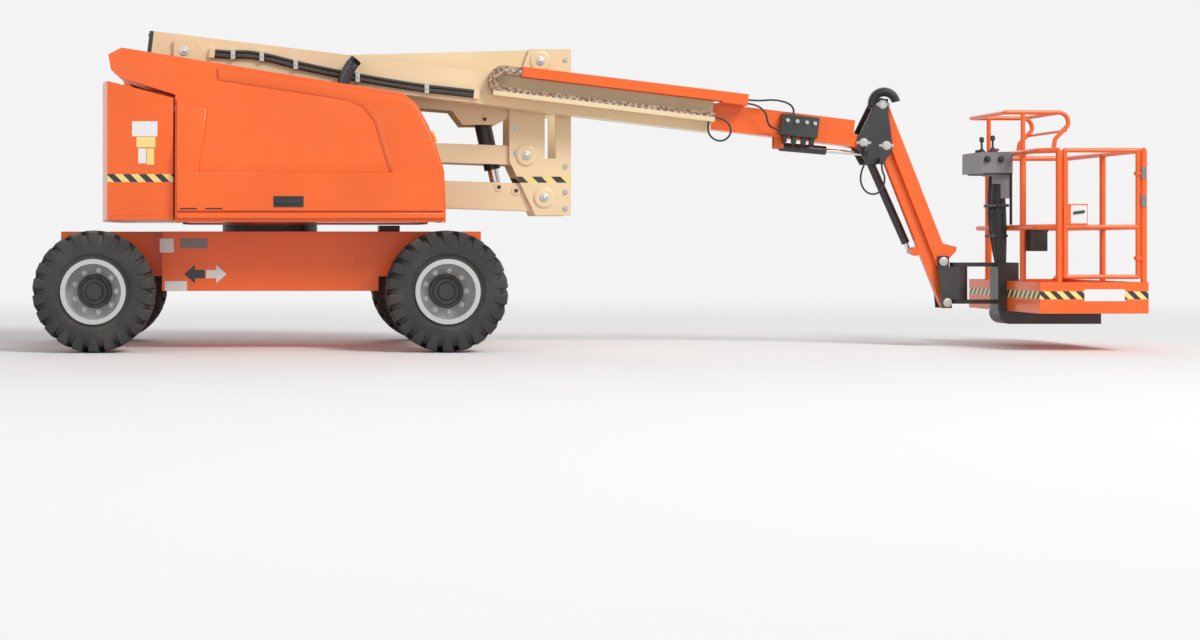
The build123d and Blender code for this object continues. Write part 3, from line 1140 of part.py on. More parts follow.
def platform_support():
    """Column and beam under the platform, with two arms that hold the rotator's shaft."""
    col_front = COLUMN_REAR + COLUMN_DEPTH
    top = ROTATOR_TOP + SEAT_GAP + SUPPORT_ARM_THICKNESS
    bottom_arm = ROTATOR_BOTTOM - SEAT_GAP
    half = SUPPORT_ARM_HALF
    body = span(COLUMN_REAR, col_front, BOOM_Y - COLUMN_HALF_WIDTH, BOOM_Y + COLUMN_HALF_WIDTH,
                FLOOR_BOTTOM, top)
    beam = span(COLUMN_REAR, BEAM_FRONT, BOOM_Y - BEAM_HALF_WIDTH, BOOM_Y + BEAM_HALF_WIDTH,
                BEAM_BOTTOM, FLOOR_BOTTOM)
    heel = beam.edges().filter_by(Axis.Y).sort_by(Axis.X)[:2].sort_by(Axis.Z)[0]
    body += fillet(heel, COLUMN_HEEL)
    for z0, z1 in ((top - SUPPORT_ARM_THICKNESS, top), (bottom_arm - SUPPORT_ARM_THICKNESS, bottom_arm)):
        body += span(ROTATOR_X, COLUMN_REAR, BOOM_Y - half, BOOM_Y + half, z0, z1)
        body += along_z(ROTATOR_X, BOOM_Y, half, z0, z1)
    return body + along_z(ROTATOR_X, BOOM_Y, ROTATOR_SHAFT, bottom_arm, top)


write("rotator", rotator())
write("platform_support", platform_support())


# Platform

PLATFORM_NEAR = BOOM_Y - PLATFORM_WIDTH / 2
PLATFORM_FAR = BOOM_Y + PLATFORM_WIDTH / 2
FLOOR_TOP = FLOOR_BOTTOM + FLOOR_THICKNESS
LATCH_X = PLATFORM_REAR + CORNER_CUT + RAIL_RADIUS
RAIL_REAR = PLATFORM_REAR + RAIL_RADIUS
RAIL_FRONT = PLATFORM_FRONT - RAIL_RADIUS - TOE_PLATE
RAIL_NEAR = PLATFORM_NEAR + RAIL_RADIUS
RAIL_FAR = PLATFORM_FAR - RAIL_RADIUS


def platform_floor():
    """Floor with toe boards all round and a notch for the support column."""
    body = span(PLATFORM_REAR, PLATFORM_FRONT, PLATFORM_NEAR, PLATFORM_FAR, FLOOR_BOTTOM, TOE_TOP)
    body -= span(PLATFORM_REAR + TOE_PLATE, PLATFORM_FRONT - TOE_PLATE,
                 PLATFORM_NEAR + TOE_PLATE, PLATFORM_FAR - TOE_PLATE,
                 FLOOR_TOP, TOE_TOP)
    notch = COLUMN_HALF_WIDTH + SEAT_GAP
    wall = span(PLATFORM_REAR, COLUMN_REAR + COLUMN_DEPTH + SEAT_GAP + TOE_PLATE, BOOM_Y - notch - TOE_PLATE,
                BOOM_Y + notch + TOE_PLATE, FLOOR_BOTTOM, TOE_TOP)
    body += wall
    return body - span(0, COLUMN_REAR + COLUMN_DEPTH + SEAT_GAP, BOOM_Y - notch, BOOM_Y + notch,
                       0, 2 * TOE_TOP)


def tube_run(points, radius):
    """Round tube through points with round corners."""
    body = None
    for start, end in zip(points, points[1:]):
        leg = rod(start, end, radius) + Pos(*start) * Sphere(radius) + Pos(*end) * Sphere(radius)
        body = leg if body is None else body + leg
    return body


GATE_HINGE_X = RAIL_FRONT - RAIL_RADIUS - GATE_GAP
GATE_LATCH_X = LATCH_X + RAIL_RADIUS + GATE_GAP


def platform_rails():
    """Top and mid rails, with posts on the toe boards; the near side is left open for the gate."""
    latch, hinge = (LATCH_X, RAIL_NEAR), (RAIL_FRONT, RAIL_NEAR)
    ring = [latch, (RAIL_REAR, RAIL_NEAR + CORNER_CUT), (RAIL_REAR, RAIL_FAR - CORNER_CUT),
            (LATCH_X, RAIL_FAR),
            (RAIL_FRONT, RAIL_FAR), hinge]
    posts = [latch, hinge, (LATCH_X, RAIL_FAR), (RAIL_FRONT, RAIL_FAR), (RAIL_FRONT, BOOM_Y),
             (RAIL_REAR, BOOM_Y - GUARD_HALF), (RAIL_REAR, BOOM_Y + GUARD_HALF)]
    body = None
    for z in (MID_RAIL_Z, TOP_RAIL_Z):
        path = FilletPolyline(*[(x, y, z) for x, y in ring], radius=RAIL_BEND)
        run = sweep((path ^ 0) * Circle(RAIL_RADIUS), path=path)
        body = run if body is None else body + run
    for x, y in posts:
        body += along_z(x, y, POST_RADIUS, TOE_TOP, TOP_RAIL_Z)
    for z in GATE_LUG_Z:
        lug = along_z(GATE_HINGE_X, RAIL_NEAR, GATE_LUG_RADIUS, z, z + GATE_LUG_HEIGHT)
        lug += span(GATE_HINGE_X, RAIL_FRONT, RAIL_NEAR - GATE_RADIUS, RAIL_NEAR + GATE_RADIUS,
                    z, z + GATE_LUG_HEIGHT)
        body += lug - along_z(GATE_HINGE_X, RAIL_NEAR, GATE_RADIUS + SEAT_GAP, z, z + GATE_LUG_HEIGHT)
    return body


def console_guard():
    """Two loops over the console, joined behind it."""
    body = None
    for way in (-1, 1):
        y = BOOM_Y + way * GUARD_HALF
        low = TOP_RAIL_Z + RAIL_RADIUS
        loop = tube_run([(RAIL_REAR, y, low), (RAIL_REAR, y, GUARD_TOP)], GUARD_RADIUS)
        ends = [(GUARD_REAR + GUARD_RADIUS, y, GUARD_TOP), (GUARD_FRONT - GUARD_RADIUS, y, GUARD_TOP)]
        loop += tube_run(ends, GUARD_RADIUS)
        loop -= span(0, 2 * RAIL_REAR, y - GUARD_HALF, y + GUARD_HALF, 0, low)
        body = loop if body is None else body + loop
    for x in (GUARD_REAR + GUARD_RADIUS, GUARD_FRONT - GUARD_RADIUS):
        body += rod((x, BOOM_Y - GUARD_HALF, GUARD_TOP), (x, BOOM_Y + GUARD_HALF, GUARD_TOP), GUARD_RADIUS)
    return body


def console():
    """Control box against the rear of the top rail."""
    length, width, height = CONSOLE_SIZE
    front = RAIL_REAR - RAIL_RADIUS - SEAT_GAP
    return span(front - length, front, BOOM_Y - width / 2, BOOM_Y + width / 2, CONSOLE_Z, CONSOLE_Z + height)


def gate():
    """Tube frame that swings inwards about its front post."""
    low = TOE_TOP + GATE_GAP + GATE_RADIUS
    corners = [(GATE_HINGE_X, RAIL_NEAR, low), (GATE_LATCH_X, RAIL_NEAR, low),
               (GATE_LATCH_X, RAIL_NEAR, TOP_RAIL_Z),
               (GATE_HINGE_X, RAIL_NEAR, TOP_RAIL_Z), (GATE_HINGE_X, RAIL_NEAR, low)]
    body = tube_run(corners, GATE_RADIUS)
    return body + rod((GATE_HINGE_X, RAIL_NEAR, MID_RAIL_Z), (GATE_LATCH_X, RAIL_NEAR, MID_RAIL_Z),
                      GATE_RADIUS)


write("platform_floor", platform_floor())
write("platform_rails", platform_rails())
write("console_guard", console_guard())
write("control_console", console())
write("platform_gate", gate())
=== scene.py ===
from math import cos, pi, radians, sin, tan

import bmesh
import bpy
from bpy.props import FloatProperty, FloatVectorProperty, IntProperty, PointerProperty
from mathutils import Matrix, Vector


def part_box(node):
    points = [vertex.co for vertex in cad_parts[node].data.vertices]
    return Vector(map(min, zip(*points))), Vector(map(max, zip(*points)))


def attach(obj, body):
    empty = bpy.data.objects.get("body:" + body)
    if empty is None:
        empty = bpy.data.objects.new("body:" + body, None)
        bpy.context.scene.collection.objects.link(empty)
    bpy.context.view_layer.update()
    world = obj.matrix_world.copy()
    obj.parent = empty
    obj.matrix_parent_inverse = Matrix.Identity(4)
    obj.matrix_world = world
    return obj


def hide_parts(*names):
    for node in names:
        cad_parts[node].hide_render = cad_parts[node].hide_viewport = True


bl_info = {
    "name": "Articulating boom lift",
    "version": (1, 0, 0),
    "blender": (4, 5, 0),
    "location": "View3D > Sidebar > Boom lift",
    "description": "Dresses the packed boom lift with paint, tyres, hoses and fittings",
    "category": "Object",
}

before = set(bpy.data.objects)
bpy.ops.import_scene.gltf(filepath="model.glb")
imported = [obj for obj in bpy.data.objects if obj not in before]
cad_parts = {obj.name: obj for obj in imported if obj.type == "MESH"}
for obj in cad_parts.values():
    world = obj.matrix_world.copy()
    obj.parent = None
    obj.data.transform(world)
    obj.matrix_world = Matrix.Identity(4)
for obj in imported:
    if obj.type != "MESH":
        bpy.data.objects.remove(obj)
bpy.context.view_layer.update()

# Places in the shared frame at rest, in metres: pins as (X, Z).
# BOOM turns a place along, across and up from the boom's pin into the shared frame.
BOOM_Y = -0.28
BOOM_SLOPE = radians(6.87)
TOWER_PINS = {"turntable": [(-2.82375, 1.180), (-2.95475, 1.488)],
              "upright": [(-0.22475, 1.091), (-0.35575, 1.399), (-0.25375, 2.091)]}
BOOM_PIN = (-2.85375, 2.140)
LIFT_FOOT = (-2.68375, 1.600)
RISER_REAR = (-2.85375, 2.009)
TOWER_CYL_PIN = (-0.65975, 1.666)
RISER_PINS = [(-0.55275, 1.17), (-0.42675, 1.144)]
JIB_PINS = [(2.06825, 1.485), (2.20625, 1.7635), (2.23425, 1.4645)]
ROTATOR_PINS = [(2.65521, 0.6237), (2.68321, 0.3247)]
BOOM = Matrix.Translation((BOOM_PIN[0], BOOM_Y, BOOM_PIN[1])) @ Matrix.Rotation(BOOM_SLOPE, 4, "Y")

# Hose routes: the boom's two as (along, up), the knuckle's as (X, Y, Z), the others as (along, across, up)
BOOM_HOSE_ACROSS = -0.122
BOOM_HOSE_PITCH = 0.034
BOOM_HOSE_ROUTE = [(0.222, 0.010), (0.312, 0.010), (0.445, 0.034), (0.620, 0.026), (0.770, 0.004),
                   (1.060, -0.024), (1.386, -0.044), (1.710, -0.058), (1.960, -0.054), (2.110, -0.054)]
TROUGH_HOSE_ROUTE = [(3.848, -0.155, -0.015), (3.905, -0.155, -0.015), (3.968, -0.155, -0.048),
                     (3.990, -0.155, -0.115), (3.950, -0.155, -0.172), (3.885, -0.155, -0.182),
                     (3.830, -0.155, -0.145), (3.815, -0.155, -0.100), (3.815, -0.155, -0.051)]
TUBE_HOSE_UPPER = [(4.072, -0.155, 0.140), (4.150, -0.155, 0.140), (4.260, -0.142, 0.165),
                   (4.350, -0.125, 0.162), (4.405, -0.112, 0.145), (4.432, -0.105, 0.112),
                   (4.432, -0.105, 0.075)]
TUBE_HOSE_LOWER = [(4.072, -0.168, 0.112), (4.150, -0.168, 0.112), (4.220, -0.168, 0.060),
                   (4.238, -0.160, -0.005), (4.280, -0.120, -0.040), (4.347, -0.120, -0.040)]
KNUCKLE_HOSE_ROUTE = [(2.07625, -0.44, 1.420), (2.07625, -0.44, 1.362), (2.03425, -0.44, 1.285),
                      (2.02425, -0.44, 1.200), (2.06425, -0.44, 1.122), (2.13825, -0.44, 1.105),
                      (2.19425, -0.44, 1.155), (2.20625, -0.44, 1.235), (2.18125, -0.44, 1.285),
                      (2.18125, -0.44, 1.335)]

# Boxes that hold hazard bars, as two corners and the pitch of a pair of bars
HAZARD_LEAN = 1.0
COUNTERWEIGHT_BARS = ((-3.6, -1.2, 1.18), (-2.8, 1.2, 1.235), 0.11)
TOE_BOARD_BARS = ((3.0, -1.2, 0.366), (4.0, 0.6, 0.422), 0.09)
UPRIGHT_BARS = ((-0.5, -0.2, 1.2), (0.0, 0.32, 1.245), 0.14)

# Thickness of blank plates, and how far a turned fitting is sunk into the face it stands on
PLATE = 0.0015
SUNK = 0.001


class LiftColours(bpy.types.PropertyGroup):
    """Colours of the machine's finishes."""
    orange: FloatVectorProperty(
        name="Orange paint", description="Hoods, chassis, fly boom and platform", subtype="COLOR",
        size=4, min=0, max=1, default=(0.93, 0.135, 0.012, 1))
    cream: FloatVectorProperty(
        name="Cream paint", description="Riser tower and main boom", subtype="COLOR",
        size=4, min=0, max=1, default=(0.87, 0.68, 0.42, 1))
    black: FloatVectorProperty(
        name="Black paint", description="Knuckles, cylinders and platform support", subtype="COLOR",
        size=4, min=0, max=1, default=(0.022, 0.022, 0.024, 1))
    rubber: FloatVectorProperty(
        name="Tyre rubber", description="Tyres and hoses", subtype="COLOR",
        size=4, min=0, max=1, default=(0.028, 0.028, 0.028, 1))
    silver: FloatVectorProperty(
        name="Rim paint", description="Wheel rims", subtype="COLOR",
        size=4, min=0, max=1, default=(0.55, 0.55, 0.54, 1))
    grey: FloatVectorProperty(
        name="Console grey", description="Control box", subtype="COLOR",
        size=4, min=0, max=1, default=(0.2, 0.2, 0.21, 1))
    stripe: FloatVectorProperty(
        name="Hazard cream", description="Pale colour of the hazard stripes", subtype="COLOR",
        size=4, min=0, max=1, default=(0.9, 0.72, 0.25, 1))
    dust: FloatVectorProperty(
        name="Dust", description="Dust in corners and on upper faces", subtype="COLOR",
        size=4, min=0, max=1, default=(0.42, 0.36, 0.29, 1))
    amber: FloatVectorProperty(
        name="Amber lens", description="Marker lamps", subtype="COLOR",
        size=4, min=0, max=1, default=(0.9, 0.32, 0.02, 1))


class LiftSizes(bpy.types.PropertyGroup):
    """Sizes and counts of the fittings."""
    lugs: IntProperty(
        name="Tyre lugs", description="Lugs on each half of a tyre's tread", min=8, max=40, default=22)
    nuts: IntProperty(
        name="Wheel nuts", description="Nuts on each wheel's disc", min=4, max=16, default=9)
    skin: FloatProperty(
        name="Hood skin", description="How far the hoods' skins stand proud", unit="LENGTH",
        min=0.001, max=0.04, default=0.024)
    sleeve: FloatProperty(
        name="Jib sleeve", description="Radius of the ribbed sleeve over the jib's head", unit="LENGTH",
        min=0.01, max=0.04, default=0.034)
    ribs: IntProperty(
        name="Sleeve ribs", description="Ribs along the jib's sleeve", min=8, max=40, default=22)


class StageSettings(bpy.types.PropertyGroup):
    """Camera, lamps and floor."""
    camera: FloatVectorProperty(
        name="Camera place", description="Where the camera stands", subtype="TRANSLATION", unit="LENGTH",
        default=(-2.313, -16.13, 0.748))
    yaw: FloatProperty(
        name="Camera yaw", description="Turn of the camera towards the platform", subtype="ANGLE",
        default=radians(1))
    lens: FloatProperty(
        name="Focal length", description="Lens on a 36 mm sensor", subtype="DISTANCE_CAMERA", default=65.5)
    floor: FloatVectorProperty(
        name="Floor", description="Pale floor", subtype="COLOR", size=4, min=0, max=1,
        default=(0.9, 0.9, 0.9, 1))
    key: FloatProperty(name="Key lamp", description="Power of the soft key lamp", unit="POWER", default=4900)
    fill: FloatProperty(name="Fill lamp", description="Power of the fill lamp", unit="POWER", default=700)
    sky: FloatProperty(name="Sky", description="Strength of the pale light from all round", default=0.42)


def colours():
    """The scene's colour settings."""
    return bpy.context.scene.lift_colours


def sizes():
    """The scene's size settings."""
    return bpy.context.scene.lift_sizes


# Mesh helpers

def add_piece(name, form, body, material, smooth=True, bevel=0.0):
    """Turns a bmesh into a piece that rides on a body of the frame."""
    mesh = bpy.data.meshes.new(name)
    bmesh.ops.recalc_face_normals(form, faces=form.faces)
    form.to_mesh(mesh)
    form.free()
    mesh.materials.append(finish(material))
    piece = bpy.data.objects.new(name, mesh)
    bpy.context.collection.objects.link(piece)
    if bevel > 0:
        edge = piece.modifiers.new("Rounded edges", "BEVEL")
        edge.width = bevel
        edge.segments = 2
        edge.limit_method = "ANGLE"
        edge.angle_limit = radians(35)
    if smooth:
        mesh.shade_smooth()
        mesh.set_sharp_from_angle(angle=radians(35))
    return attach(piece, body)


def add_box(form, low, high, turn=None):
    """Box between two corners, with an optional matrix applied to it."""
    made = bmesh.ops.create_cube(form, size=1)["verts"]
    low, high = Vector(low), Vector(high)
    for vert in made:
        vert.co = (low + high) / 2 + Vector(a * b for a, b in zip(vert.co, high - low))
    if turn is not None:
        bmesh.ops.transform(form, matrix=turn, verts=made)
    return made


def add_plates(name, boxes, body, material, bevel=0.0):
    """Piece made of boxes, each given by its two corners."""
    form = bmesh.new()
    for low, high in boxes:
        add_box(form, low, high)
    return add_piece(name, form, body, material, bevel=bevel)


def add_ring(form, centre, turn, radius, along, segments):
    """Ring of points round an axis, at a distance along it."""
    angles = [2 * pi * index / segments for index in range(segments)]
    return [form.verts.new(centre + turn @ Vector((radius * cos(a), radius * sin(a), along))) for a in angles]


def join_rings(form, rings, closed=False):
    """Faces between neighbouring rings, with flat ends unless the last ring joins the first."""
    pairs = list(zip(rings, rings[1:])) + ([(rings[-1], rings[0])] if closed else [])
    for one, two in pairs:
        for index in range(len(one)):
            after = (index + 1) % len(one)
            form.faces.new((one[index], one[after], two[after], two[index]))
    if not closed:
        form.faces.new(reversed(rings[0]))
        form.faces.new(rings[-1])


def add_lathe(form, profile, centre, axis, segments, closed=False):
    """Turned form: profile is (radius, distance along the axis) from the centre."""
    turn = Vector((0, 0, 1)).rotation_difference(Vector(axis)).to_matrix()
    rings = [add_ring(form, Vector(centre), turn, radius, along, segments) for radius, along in profile]
    join_rings(form, rings, closed)


def add_bolt(form, place, axis, radius, height, washer=True):
    """Hexagon head on a washer, standing on a face at place."""
    if washer:
        add_lathe(form, [(radius * 1.45, -SUNK), (radius * 1.45, height * 0.22)], place, axis, 20)
    add_lathe(form, [(radius, 0), (radius, height * 0.85), (radius * 0.86, height)], place, axis, 6)


def add_tube(form, points, radius, segments=10):
    """Round bar through points, with a mitred ring at each."""
    points = [Vector(point) for point in points]
    rings = []
    for index, point in enumerate(points):
        before, after = points[max(index - 1, 0)], points[min(index + 1, len(points) - 1)]
        turn = Vector((0, 0, 1)).rotation_difference(after - before).to_matrix()
        rings.append(add_ring(form, point, turn, radius, 0, segments))
    join_rings(form, rings)


def add_sheet(form, corners, outward):
    """Flat or bent sheet: corners in order, raised by the outward vector."""
    low = [form.verts.new(Vector(corner)) for corner in corners]
    high = [form.verts.new(Vector(corner) + Vector(outward)) for corner in corners]
    form.faces.new(low)
    form.faces.new(reversed(high))
    for index in range(len(low)):
        after = (index + 1) % len(low)
        form.faces.new((low[index], high[index], high[after], low[after]))


def add_pin_cap(form, place, axis, radius, height):
    """Turned end of a pin with a keeper plate and its two bolts."""
    place, axis = Vector(place), Vector(axis)
    add_lathe(form, [(radius * 1.35, -SUNK), (radius * 1.35, height * 0.5), (radius, height * 0.55),
                     (radius * 0.92, height), (radius * 0.2, height)], place, axis, 32)
    for way in (-1, 1):
        add_bolt(form, place + Vector((way * radius * 1.75, 0, 0)), axis, radius * 0.26, height * 0.8)
    keeper = Vector((radius * 2.2, 0, radius * 0.4))
    foot = place + axis * height * 0.2
    add_box(form, place - keeper, foot + keeper)


def add_boss(form, place, axis, radius, height):
    """Round washer with a bolt in its middle."""
    middle = height * 0.5
    add_lathe(form, [(radius, -SUNK), (radius, height * 0.4), (radius * 0.85, middle)], place, axis, 32)
    add_bolt(form, Vector(place) + Vector(axis) * middle, axis, radius * 0.42, middle, washer=False)


def side_place(pin, y):
    """A pin's place on a face at Y."""
    return (pin[0], y, pin[1])


def side_plates(plates, y, out):
    """Boxes of thin plates on a face at Y, from their (X low, X high, Z low, Z high)."""
    y0, y1 = sorted((y, y + out * PLATE))
    return [((x0, y0, z0), (x1, y1, z1)) for x0, x1, z0, z1 in plates]


# Node helpers

def node_group(name, inputs, outputs):
    """New shader group with named sockets; returns the tree and its two end nodes."""
    tree = bpy.data.node_groups.new(name, "ShaderNodeTree")
    for label, kind, value in inputs:
        tree.interface.new_socket(name=label, in_out="INPUT", socket_type=kind).default_value = value
    for label, kind in outputs:
        tree.interface.new_socket(name=label, in_out="OUTPUT", socket_type=kind)
    return tree, tree.nodes.new("NodeGroupInput"), tree.nodes.new("NodeGroupOutput")


def math_node(tree, operation, a, b=None, clamp=False):
    """Math node fed by sockets or plain numbers; returns its output."""
    node = tree.nodes.new("ShaderNodeMath")
    node.operation = operation
    node.use_clamp = clamp
    for socket, value in zip(node.inputs, (a, b)):
        if isinstance(value, bpy.types.NodeSocket):
            tree.links.new(value, socket)
        elif value is not None:
            socket.default_value = value
    return node.outputs[0]


def mix_colour(tree, factor, a, b, blend="MIX"):
    """Colour mix fed by sockets or plain colours; returns its output."""
    node = tree.nodes.new("ShaderNodeMix")
    node.data_type = "RGBA"
    node.blend_type = blend
    for socket, value in zip((node.inputs[0], node.inputs[6], node.inputs[7]), (factor, a, b)):
        if isinstance(value, bpy.types.NodeSocket):
            tree.links.new(value, socket)
        else:
            socket.default_value = value
    return node.outputs[2]


def noise(tree, vector, scale, detail=2.0):
    """Noise over the piece's own coordinates; returns its value."""
    node = tree.nodes.new("ShaderNodeTexNoise")
    node.inputs["Detail"].default_value = detail
    tree.links.new(vector, node.inputs["Vector"])
    if isinstance(scale, bpy.types.NodeSocket):
        tree.links.new(scale, node.inputs["Scale"])
    else:
        node.inputs["Scale"].default_value = scale
    return node.outputs["Fac"]


def ramp(tree, value, low, high):
    """Value mapped from low..high to 0..1; returns its output."""
    node = tree.nodes.new("ShaderNodeMapRange")
    tree.links.new(value, node.inputs["Value"])
    node.inputs["From Min"].default_value = low
    node.inputs["From Max"].default_value = high
    return node.outputs["Result"]


def object_point(tree):
    """The piece's own coordinates, which are the shared frame's at rest."""
    return tree.nodes.new("ShaderNodeTexCoord").outputs["Object"]


# Shared effects

def weathering_group():
    """Colour drift, dust on upper faces and the fine ripple of sprayed paint."""
    tree, start, end = node_group(
        "Weathering",
        [("Colour", "NodeSocketColor", (0.5, 0.5, 0.5, 1)),
         ("Dust colour", "NodeSocketColor", (0.4, 0.35, 0.3, 1)),
         ("Dust", "NodeSocketFloat", 0.3),
         ("Gloss", "NodeSocketFloat", 0.35),
         ("Ripple", "NodeSocketFloat", 320)],
        [("Colour", "NodeSocketColor"), ("Roughness", "NodeSocketFloat"), ("Height", "NodeSocketFloat")])
    point = object_point(tree)
    drift = ramp(tree, noise(tree, point, 1.7, 4), 0.3, 0.7)
    shade = math_node(tree, "MULTIPLY_ADD", drift, 0.1)
    shade.node.inputs[2].default_value = 0.93
    toned = mix_colour(tree, 1.0, start.outputs["Colour"], (1, 1, 1, 1), "MULTIPLY")
    tree.links.new(shade, toned.node.inputs[7])
    facing = tree.nodes.new("ShaderNodeSeparateXYZ")
    tree.links.new(tree.nodes.new("ShaderNodeNewGeometry").outputs["Normal"], facing.inputs[0])
    upper = ramp(tree, facing.outputs["Z"], 0.2, 1.0)
    patches = ramp(tree, noise(tree, point, 5.0, 6), 0.42, 0.75)
    lying = math_node(tree, "MULTIPLY_ADD", upper, 0.55)
    lying.node.inputs[2].default_value = 0.18
    settled = math_node(tree, "MULTIPLY", patches, lying)
    dust = math_node(tree, "MULTIPLY", settled, start.outputs["Dust"], clamp=True)
    tree.links.new(mix_colour(tree, dust, toned, start.outputs["Dust colour"]), end.inputs["Colour"])
    worn = math_node(tree, "MULTIPLY_ADD", dust, 0.5)
    tree.links.new(start.outputs["Gloss"], worn.node.inputs[2])
    smear = math_node(tree, "MULTIPLY_ADD", noise(tree, point, 11.0, 3), 0.1)
    tree.links.new(worn, smear.node.inputs[2])
    tree.links.new(smear, end.inputs["Roughness"])
    tree.links.new(noise(tree, point, start.outputs["Ripple"], 1), end.inputs["Height"])
    return tree


def edge_rub_group():
    """Paint rubbed thin along edges."""
    tree, start, end = node_group(
        "Edge rub",
        [("Colour", "NodeSocketColor", (0.5, 0.5, 0.5, 1)),
         ("Bare colour", "NodeSocketColor", (0.3, 0.3, 0.3, 1)),
         ("Rub", "NodeSocketFloat", 0.5),
         ("Width", "NodeSocketFloat", 0.006)],
        [("Colour", "NodeSocketColor"), ("Normal", "NodeSocketVector")])
    bevel = tree.nodes.new("ShaderNodeBevel")
    bevel.samples = 4
    tree.links.new(start.outputs["Width"], bevel.inputs["Radius"])
    dot = tree.nodes.new("ShaderNodeVectorMath")
    dot.operation = "DOT_PRODUCT"
    tree.links.new(bevel.outputs[0], dot.inputs[0])
    tree.links.new(tree.nodes.new("ShaderNodeNewGeometry").outputs["Normal"], dot.inputs[1])
    edge = math_node(tree, "SUBTRACT", 1.0, dot.outputs["Value"])
    ragged = ramp(tree, noise(tree, object_point(tree), 23.0, 5), 0.45, 0.7)
    worn = math_node(tree, "MULTIPLY", ramp(tree, edge, 0.02, 0.2), ragged)
    mask = math_node(tree, "MULTIPLY", worn, start.outputs["Rub"], clamp=True)
    rubbed = mix_colour(tree, mask, start.outputs["Colour"], start.outputs["Bare colour"])
    tree.links.new(rubbed, end.inputs["Colour"])
    tree.links.new(bevel.outputs[0], end.inputs["Normal"])
    return tree


def hazard_group():
    """Slanted black and pale bars inside a box of the piece's own coordinates."""
    tree, start, end = node_group(
        "Hazard bars",
        [("Colour", "NodeSocketColor", (0.5, 0.5, 0.5, 1)),
         ("Pale", "NodeSocketColor", (0.9, 0.7, 0.3, 1)),
         ("Dark", "NodeSocketColor", (0.02, 0.02, 0.02, 1)),
         ("Low", "NodeSocketVector", (0, 0, 0)),
         ("High", "NodeSocketVector", (1, 1, 1)),
         ("Pitch", "NodeSocketFloat", 0.12),
         ("Lean", "NodeSocketFloat", 1.0)],
        [("Colour", "NodeSocketColor")])
    split = [tree.nodes.new("ShaderNodeSeparateXYZ") for _ in range(3)]
    for source, node in zip((object_point(tree), start.outputs["Low"], start.outputs["High"]), split):
        tree.links.new(source, node.inputs[0])
    inside = None
    for axis in range(3):
        above = math_node(tree, "GREATER_THAN", split[0].outputs[axis], split[1].outputs[axis])
        below = math_node(tree, "LESS_THAN", split[0].outputs[axis], split[2].outputs[axis])
        both = math_node(tree, "MULTIPLY", above, below)
        inside = both if inside is None else math_node(tree, "MULTIPLY", inside, both)
    along = math_node(tree, "ADD", split[0].outputs[0], split[0].outputs[1])
    slanted = math_node(tree, "MULTIPLY_ADD", split[0].outputs[2], start.outputs["Lean"])
    tree.links.new(along, slanted.node.inputs[2])
    phase = math_node(tree, "FRACT", math_node(tree, "DIVIDE", slanted, start.outputs["Pitch"]))
    dark = math_node(tree, "GREATER_THAN", phase, 0.5)
    bars = mix_colour(tree, dark, start.outputs["Pale"], start.outputs["Dark"])
    tree.links.new(mix_colour(tree, inside, start.outputs["Colour"], bars), end.inputs["Colour"])
    return tree


def shared_group(name):
    """A shared effect by name, made on first use."""
    makers = {"Weathering": weathering_group, "Edge rub": edge_rub_group, "Hazard bars": hazard_group}
    return bpy.data.node_groups.get(name) or makers[name]()


def place_group(tree, name, **values):
    """Puts a shared effect into a material; underscores in the names stand for spaces."""
    node = tree.nodes.new("ShaderNodeGroup")
    node.node_tree = shared_group(name)
    for label, value in values.items():
        socket = node.inputs[label.replace("_", " ")]
        if isinstance(value, bpy.types.NodeSocket):
            tree.links.new(value, socket)
        else:
            socket.default_value = value
    return node


# Finishes

def blank_material(name):
    """New material; returns it with its tree and its Principled shader."""
    made = bpy.data.materials.new(name)
    made.use_nodes = True
    return made, made.node_tree, made.node_tree.nodes["Principled BSDF"]


def bump(tree, shader, height, strength, distance, normal=None):
    """Feeds a height into the shader's normal."""
    node = tree.nodes.new("ShaderNodeBump")
    node.inputs["Strength"].default_value = strength
    node.inputs["Distance"].default_value = distance
    tree.links.new(height, node.inputs["Height"])
    if normal is not None:
        tree.links.new(normal, node.inputs["Normal"])
    tree.links.new(node.outputs["Normal"], shader.inputs["Normal"])


def weathered(tree, shader, colour, dust, gloss, ripple=320):
    """Places the weathering, and takes the shader's colour and roughness from it."""
    aged = place_group(tree, "Weathering", Colour=colour, Dust_colour=colours().dust[:],
                       Dust=dust, Gloss=gloss, Ripple=ripple)
    tree.links.new(aged.outputs["Colour"], shader.inputs["Base Color"])
    tree.links.new(aged.outputs["Roughness"], shader.inputs["Roughness"])
    return aged


def painted(name, colour, gloss=0.3, dust=0.35, rub=0.35, width=0.006, bare=(0.25, 0.24, 0.23, 1), bars=None):
    """Sprayed paint with drift, dust and rubbed edges, and hazard bars where their box is given."""
    made, tree, shader = blank_material(name)
    base = colour
    if bars is not None:
        low, high, pitch = bars
        base = place_group(tree, "Hazard bars", Colour=colour, Pale=colours().stripe[:],
                           Dark=colours().black[:], Low=low, High=high, Pitch=pitch,
                           Lean=HAZARD_LEAN).outputs["Colour"]
    aged = weathered(tree, shader, base, dust, gloss)
    rubbed = place_group(tree, "Edge rub", Colour=aged.outputs["Colour"], Bare_colour=bare,
                         Rub=rub, Width=width)
    tree.links.new(rubbed.outputs["Colour"], shader.inputs["Base Color"])
    bump(tree, shader, aged.outputs["Height"], 0.05, 0.001, rubbed.outputs["Normal"])
    shader.inputs["Coat Weight"].default_value = 0.25
    shader.inputs["Coat Roughness"].default_value = 0.12
    return made


def metal(name, colour, gloss, dust):
    """Bare metal with smears and a little dust."""
    made, tree, shader = blank_material(name)
    aged = weathered(tree, shader, colour, dust, gloss, 900)
    bump(tree, shader, aged.outputs["Height"], 0.04, 0.0005)
    shader.inputs["Metallic"].default_value = 1.0
    return made


